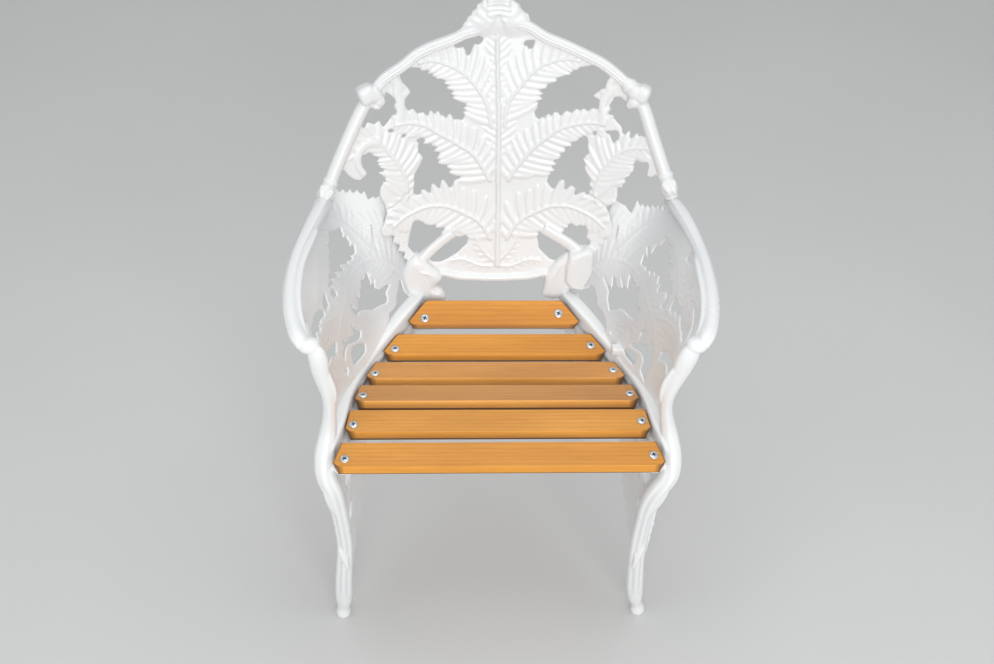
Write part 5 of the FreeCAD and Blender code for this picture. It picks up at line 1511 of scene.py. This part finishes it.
def make_joint(bag, sg):
    """strap behind the back, neck and cheek beside the knuckle"""
    p = bk(165, 92, 0)
    n = -unit(bk(165, 92, 1) - bk(165, 92, -1))
    side = unit(np.cross([0, 0, 1.0], n))
    if side[0] > 0:
        side = -side
    up = unit(np.cross(n, side))
    if up[2] < 0:
        up = -up
    base = p + n * 9.0
    m = np.array([sg, 1.0, 1.0])
    a = [base + side * 12 + up * 11, base + side * 12 - up * 11, base - side * 34 - up * 13, base - side * 34 + up * 13]
    b = [q + n * 6 for q in a]
    bag.add(*hull6([q * m for q in a], [q * m for q in b]))
    a = [base - side * 24 + up * 13, base - side * 24 - up * 13, base - side * 34 - up * 13, base - side * 34 + up * 13]
    bag.add(*hull6([(q - n * 14) * m for q in a], [(q + n) * m for q in a]))
    kx = 112 + 24.5
    a = [(kx, 356, 455), (kx, 380, 456), (kx, 381, 498), (kx, 365, 500), (kx, 357, 480)]
    bag.add(*hull6([np.array(q) * m for q in a], [(np.array(q) + (7, 0, 0)) * m for q in a]))


# ------------------------------------------------------------------ slats
def make_slat(row, seed, mat, lower_edge_shade):
    """slat with eased edges, pointed ends and slightly worn corners"""
    name, fy, fz, deg, hb, ht, sx = row
    o, e, d = slat_frame(row)
    X = np.array([1.0, 0, 0])
    half = [(ht - 7.0, 0.0), (ht, 6.5), (hb, SLAT_W)]
    out = [np.array(p) for p in half] + [np.array((-x, w)) for x, w in reversed(half)]
    # finer outline, so that the rounding follows it
    P = []
    n = len(out)
    for i in range(n):
        a, b = out[i], out[(i + 1) % n]
        L = np.linalg.norm(b - a)
        k = max(3, int(L / 9.0))
        for j in range(k):
            t = j / k
            P.append(a + (b - a) * t)
    P = np.array(P)
    m = len(P)
    Q = np.roll(P, -1, 0)
    R = np.roll(P, 1, 0)
    t1, t2 = unit(Q - P), unit(P - R)
    nrm = unit(np.stack([-(t1 + t2)[:, 1], (t1 + t2)[:, 0]], 1))
    cosh = np.clip((nrm * np.stack([-t1[:, 1], t1[:, 0]], 1)).sum(1), 0.5, 1)
    nrm = nrm / cosh[:, None]
    cen = P.mean(0)
    if ((P - cen) * nrm).sum() < 0:
        nrm = -nrm
    r = 0.9
    end = (P[:, 1] > 0.01) & (P[:, 1] < SLAT_W - 0.01)
    end |= (np.abs(np.abs(P[:, 0]) - (ht - 7.0)) < 0.01) & (P[:, 1] < 0.01)
    end |= (np.abs(np.abs(P[:, 0]) - hb) < 0.01) & (P[:, 1] > SLAT_W - 0.01)
    front = (P[:, 1] < 0.01) & ~end
    rear = (P[:, 1] > SLAT_W - 0.01) & ~end
    prof = [(-2.1, 0.0), (-1.5, 0.0), (-r, 0.0)]
    for i in range(1, 6):
        a = math.pi / 2 * i / 5
        prof.append((-r + r * math.sin(a), r - r * math.cos(a)))
    for z in (3.0, 6.0, 9.0, SLAT_T - lower_edge_shade - 1.0, SLAT_T - lower_edge_shade):
        prof.append((0.0, z))
    rb = 0.9
    for i in range(4):
        a = math.pi / 2 * i / 3
        prof.append((-rb + rb * math.cos(a), SLAT_T - rb + rb * math.sin(a)))
    prof.append((-rb - 2.2, SLAT_T))
    g = np.random.default_rng(seed)
    ph = g.uniform(0, TAU, 4)
    V, T = [], []
    for inset, depth in prof:
        q = P + nrm * (inset - 0.02)
        # the ends are sawn at a slant, so the lower edge is shorter
        lim = ht - 7.0 * min(1.0, depth / (SLAT_T - 1.0)) - (0 if depth > 0 else -1)
        q[:, 0] = np.clip(q[:, 0], -lim, lim)
        wv = 0.10 * np.sin(q[:, 0] * 0.035 + ph[0]) + 0.06 * np.sin(q[:, 0] * 0.11 + ph[1])
        V.append(o + X * q[:, :1] + e * (q[:, 1] * 1.0)[:, None] + d * (depth + 0.02 + 0.5 * wv * (depth < 3))[:, None])
        t = np.zeros((m, 4))
        t[:, 3] = 1.0
        # tone red paints dark sawn ends (darker end grain with painted shadow at the gap to the casting), a painted
        # shadow band along the lower edge and painted shade on the rear face; tone green paints light on the front face
        t[end, 0] = 0.0 if inset < -1.9 else 0.55 if depth == 0.0 else 0.82
        if depth >= SLAT_T - lower_edge_shade:
            t[:, 0] = 0.93 if inset > -2.9 else 0.1
        t[rear & (depth > 0.5), 0] = 0.5
        t[front, 1] = 1.0 if depth > 0.3 else 0.0
        T.append(t)
    V = np.concatenate(V)
    F = []
    K = len(prof)
    for i in range(K - 1):
        for j in range(m):
            k = (j + 1) % m
            F.append((i * m + j, i * m + k, (i + 1) * m + k, (i + 1) * m + j))
    F.append(tuple(range(m - 1, -1, -1)))
    F.append(tuple((K - 1) * m + j for j in range(m)))
    me = bpy.data.meshes.new(name + "_wood")
    me.from_pydata(place(V).tolist(), [], F)
    me.update()
    ob = bpy.data.objects.new(name + "_wood", me)
    scene.collection.objects.link(ob)
    me.materials.append(mat)
    fix_normals(me)
    for p in me.polygons:
        p.use_smooth = True
    me.set_sharp_from_angle(angle=math.radians(27))
    at = me.color_attributes.new("tone", "FLOAT_COLOR", "POINT")
    at.data.foreach_set("color", np.concatenate(T).astype(np.float32).ravel())
    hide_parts(name)
    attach(ob, "root")
    return ob


def fix_normals(me):
    import bmesh
    bm = bmesh.new()
    bm.from_mesh(me)
    bmesh.ops.recalc_face_normals(bm, faces=bm.faces)
    bm.to_mesh(me)
    bm.free()
    me.update()


# ------------------------------------------------------------------ build
make_back()
make_side(-1, "left")
make_side(1, "right")
TONES = [
    # colour, how pinkish, value, painted light on the front face, height of the painted shadow band along the lower
    # edge
    (0.660, 0.276, 0.041, 0.0, 0.97, 1.18, 2.2),
    (0.660, 0.284, 0.046, 0.0, 0.98, 1.30, 3.6),
    (0.640, 0.300, 0.074, 0.12, 0.98, 1.36, 5.0),
    (0.610, 0.298, 0.082, 0.18, 0.97, 1.62, 5.0),
    (0.665, 0.302, 0.058, 0.04, 0.97, 1.26, 3.2),
    (0.660, 0.290, 0.050, 0.0, 0.98, 1.20, 1.6),
]
for i, row in enumerate(SLATS):
    r, g, b, pk, val, fr, lower_edge_shade = TONES[i]
    make_slat(row, 40 + i, make_wood("oiled_wood_%d" % (i + 1), i + 1, (r, g, b), pk, val, fr), lower_edge_shade)

SCREWS = {
    # x and distance from the slat's front edge, left and right
    "slat_1_rear": ((-107.5, 11.4), (100.5, 19.0)),
    "slat_2": ((-152.5, 10.8), (147.6, 17.0)),
    "slat_3": ((-180.8, 11.4), (177.2, 18.8)),
    "slat_4": ((-195.9, 13.8), (195.2, 16.2)),
    "slat_5": ((-206.9, 12.8), (205.9, 18.0)),
    "slat_6_front": ((-216.2, 12.9), (216.4, 17.0)),
}


def screw_mesh(c, up, turn, n=48):
    """pan head with a tapered cross recess, and its shank"""
    up = unit(np.array(up, float))
    u = unit(np.cross(np.cross(up, [math.cos(turn), math.sin(turn), 0.0]), up))
    w = np.cross(up, u)
    R = 6.7
    rings = [0.0, 0.5, 1.0, 1.5, 2.0, 2.5, 3.0, 3.4, 3.8, 4.3, 4.8, 5.3, 5.8, 6.2, 6.5, 6.66, 6.7, 6.7]
    V, F = [], []
    q = np.linspace(0, TAU, n, endpoint=False)
    for i, r in enumerate(rings):
        x, y = r * np.cos(q), r * np.sin(q)
        if i >= len(rings) - 2:
            z = np.full(n, (1.1, 0.0)[i - len(rings) + 2])
        else:
            z = np.full(n, 3.1 * math.sqrt(max(0.0, 1 - (r / 7.35) ** 2.2)) - 0.05)
            a = np.minimum(np.abs(x), np.abs(y))
            f = np.maximum(np.abs(x), np.abs(y))
            arm = np.clip((0.95 - a) / 0.45, 0, 1) * np.clip((3.5 - f) / 0.9, 0, 1)
            mid = np.clip((1.9 - r) / 0.7, 0, 1)
            z = z - 2.3 * np.maximum(arm, mid)
        V.append(c + u * x[:, None] + w * y[:, None] + up * z[:, None])
    prev = len(rings) - 1
    for r, z in ((3.0, 0.0), (3.0, -31.0), (2.4, -32.5)):
        V.append(c + u * (r * np.cos(q))[:, None] + w * (r * np.sin(q))[:, None] + up * z)
    K = len(V)
    V = np.concatenate(V)
    for i in range(K - 1):
        for j in range(n):
            k = (j + 1) % n
            if i == 0:
                continue
            F.append((i * n + j, i * n + k, (i + 1) * n + k, (i + 1) * n + j))
    # the first ring is a single point
    m = len(V)
    V = np.concatenate([V[n:], V[:1]])
    F = [tuple(v - n for v in f) for f in F]
    top = len(V) - 1
    for j in range(n):
        F.append((top, j, (j + 1) % n))
    F.append(tuple((K - 2) * n + j for j in range(n)))
    return V, F


def ring_mesh(c, d, r0, r1, t, n=40, six=0.0):
    """washer, or a nut where six is its width over the flats"""
    d = unit(np.array(d, float))
    u = np.array([1.0, 0, 0])
    u = unit(u - d * (u @ d))
    w = np.cross(d, u)
    q = np.linspace(0, TAU, n, endpoint=False)
    if six:
        a = (q + math.pi / 6) % (math.pi / 3) - math.pi / 6
        ro = (six / 2) / np.cos(a)
    else:
        ro = np.full(n, r1)
    b = 0.25 if not six else 0.45
    V = []
    for r, z in ((np.full(n, r0), b), (np.full(n, r0 + b), 0.0), (ro - b, 0.0), (ro, b), (ro, t - b), (ro - b, t),
                 (np.full(n, r0 + b), t), (np.full(n, r0), t - b)):
        V.append(c + u * (r * np.cos(q))[:, None] + w * (r * np.sin(q))[:, None] + d * z)
    V = np.concatenate(V)
    F = []
    for i in range(8):
        for j in range(n):
            k = (j + 1) % n
            i2 = (i + 1) % 8
            F.append((i * n + j, i * n + k, i2 * n + k, i2 * n + j))
    return V, F


def hardware(name, node, parts, mat):
    bag = Bag()
    for V, F in parts:
        bag.add(V, F)
    me = bag.mesh(name)
    ob = bpy.data.objects.new(name, me)
    scene.collection.objects.link(ob)
    me.materials.append(mat)
    fix_normals(me)
    for p in me.polygons:
        p.use_smooth = True
    me.set_sharp_from_angle(angle=math.radians(32))
    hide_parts(node)
    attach(ob, "root")


heads, rings, nuts = [], [], []
turns = np.random.default_rng(5).uniform(0, math.pi / 2, 12)
for i, row in enumerate(SLATS):
    o, e, d = slat_frame(row)
    for j in (0, 1):
        x, wv = SCREWS[row[0]][j]
        c = o + e * wv + np.array([x, 0, 0])
        heads.append(screw_mesh(c - d * 0.02, -d, turns[2 * i + j]))
        k = c + d * (SLAT_T + LEDGE_T * math.cos(math.radians(row[3])) - 0.1)
        rings.append(ring_mesh(k, d, 3.2, 6.5, 1.5))
        nuts.append(ring_mesh(k + d * 1.52, d, 3.05, 0, 5.0, 42, 10.0))
hardware("slat_screws_zinc", "slat_screws", heads, MAT_SCREW)


def recess_mesh(c, up, turn):
    """dark insert at the floor of a cross recess, painted shade"""
    up = unit(np.array(up, float))
    u = unit(np.cross(np.cross(up, [math.cos(turn), math.sin(turn), 0.0]), up))
    w = np.cross(up, u)
    a, b = 0.80, 2.95
    P = [(b, -a), (b, a), (a, a), (a, b), (-a, b), (-a, a), (-b, a), (-b, -a), (-a, -a), (-a, -b), (a, -b), (a, -a)]
    V = []
    for k, z in ((0.80, 0.35), (1.0, 2.05)):
        for x, y in P:
            V.append(c + u * x * k + w * y * k + up * z)
    F = [tuple(range(11, -1, -1)), tuple(range(12, 24))]
    for i in range(12):
        j = (i + 1) % 12
        F.append((i, j, 12 + j, 12 + i))
    return np.array(V), F


# dark inserts that paint the shade inside the screw recesses
bag = Bag()
for i, row in enumerate(SLATS):
    o, e, d = slat_frame(row)
    for j in (0, 1):
        x, wv = SCREWS[row[0]][j]
        bag.add(*recess_mesh(o + e * wv + np.array([x, 0, 0]), -d, turns[2 * i + j]))
me = bag.mesh("slat_screws_recess")
ob = bpy.data.objects.new("slat_screws_recess", me)
scene.collection.objects.link(ob)
me.materials.append(make_zinc("screw_recess_painted_shade", (0.075, 0.095, 0.125), 0.55))
fix_normals(me)
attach(ob, "root")
hardware("slat_washers_zinc", "slat_washers", rings, MAT_SCREW)
hardware("slat_nuts_zinc", "slat_nuts", nuts, MAT_SCREW)

for n, mat, slot in (("frame_bolts_upper", MAT_BOLT, "zinc_bolt"),
                     ("frame_bolts_lower", MAT_BOLT, "zinc_bolt"), ("frame_washers", MAT_BOLT, "zinc_bolt")):
    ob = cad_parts[n]
    ob.data.materials.clear()
    ob.data.materials.append(mat)


# --------------------------------------------------- floor, light, camera
def floor_material():
    m, nt, b = nodes_of("studio_floor_grey")
    v = mapped(nt)
    c = ramp(nt, noise(nt, v, 1.3, 3.0, 0.5), [(0.3, (0.590, 0.590, 0.587)), (0.7, (0.618, 0.618, 0.615))])
    nt.links.new(c, b.inputs["Base Color"])
    b.inputs["Roughness"].default_value = 0.7
    b.inputs["Specular IOR Level"].default_value = 0.25
    bump(nt, b, noise(nt, v, 60.0, 3.0, 0.5), 0.03, 0.001)
    return m


def make_floor():
    """floor that sweeps up into a wall behind"""
    prof = [(-6.0, 0.0), (2.3, 0.0)]
    for i in range(1, 13):
        a = math.pi / 2 * i / 12
        prof.append((2.3 + 0.8 * math.sin(a), 0.8 - 0.8 * math.cos(a)))
    prof.append((3.1, 6.0))
    V, F = [], []
    for y, z in prof:
        for x in (-7.0, 7.0):
            V.append((x, y, z))
    for i in range(len(prof) - 1):
        F.append((2 * i, 2 * i + 1, 2 * i + 3, 2 * i + 2))
    me = bpy.data.meshes.new("studio_floor")
    me.from_pydata(V, [], F)
    me.update()
    for p in me.polygons:
        p.use_smooth = True
    me.materials.append(floor_material())
    ob = bpy.data.objects.new("studio_floor", me)
    scene.collection.objects.link(ob)


make_floor()


def area(name, loc, target, size, energy, color=(1, 1, 1), sy=None):
    L = bpy.data.lights.new(name, "AREA")
    L.shape = "RECTANGLE"
    L.size = size
    L.size_y = sy or size
    L.energy = energy
    L.color = color
    o = bpy.data.objects.new(name, L)
    o.location = loc
    d = Vector(target) - Vector(loc)
    o.rotation_mode = "QUATERNION"
    o.rotation_quaternion = d.to_track_quat("-Z", "Y")
    scene.collection.objects.link(o)
    return o


area("key", (0.25, -3.3, 1.60), (0, 0, 0.5), 2.2, 68, (1.0, 0.995, 0.99))
area("fill_left", (-2.6, -2.0, 2.2), (0, 0, 0.5), 2.2, 8, (0.96, 0.98, 1.0))
area("top", (0.0, 0.0, 3.4), (0, 0, 0.4), 2.8, 33, (1.0, 1.0, 1.0))
area("fill_right", (2.6, -1.6, 2.0), (0, 0, 0.5), 2.2, 7, (0.97, 0.985, 1.0))
w = bpy.data.worlds.new("studio")
scene.world = w
w.use_nodes = True
bg = w.node_tree.nodes["Background"]
bg.inputs["Color"].default_value = (0.96, 0.98, 1.0, 1)
bg.inputs["Strength"].default_value = 0.60

C = np.array([-0.08041024, -1.26444756, 1.71960192])
RDF = np.array([[0.99911729, -0.03286897, 0.02615847], [-0.00087664, -0.63888748, -0.7692997],
                [0.04199841, 0.7685977, -0.63835234]])
u_, s_, v_ = np.linalg.svd(RDF)
RDF = u_ @ v_
cam = bpy.data.cameras.new("photo_view")
cam.sensor_fit = "HORIZONTAL"
cam.sensor_width = 36.0
cam.lens = 1300.0 * 36.0 / 994.0
cam.shift_x = 0.0
cam.shift_y = 0.0
cam.clip_start, cam.clip_end = 0.05, 60.0
cob = bpy.data.objects.new("photo_view", cam)
scene.collection.objects.link(cob)
mw = Matrix.Identity(4)
for i in range(3):
    mw[i][0] = RDF[0][i]
    mw[i][1] = -RDF[1][i]
    mw[i][2] = -RDF[2][i]
    mw[i][3] = C[i] + (Y_SHIFT * MM if i == 1 else 0.0)
cob.matrix_world = mw
scene.camera = cob
scene.view_settings.view_transform = "Standard"
scene.view_settings.look = "None"
scene.view_settings.exposure = 0.0
scene.view_settings.gamma = 1.0
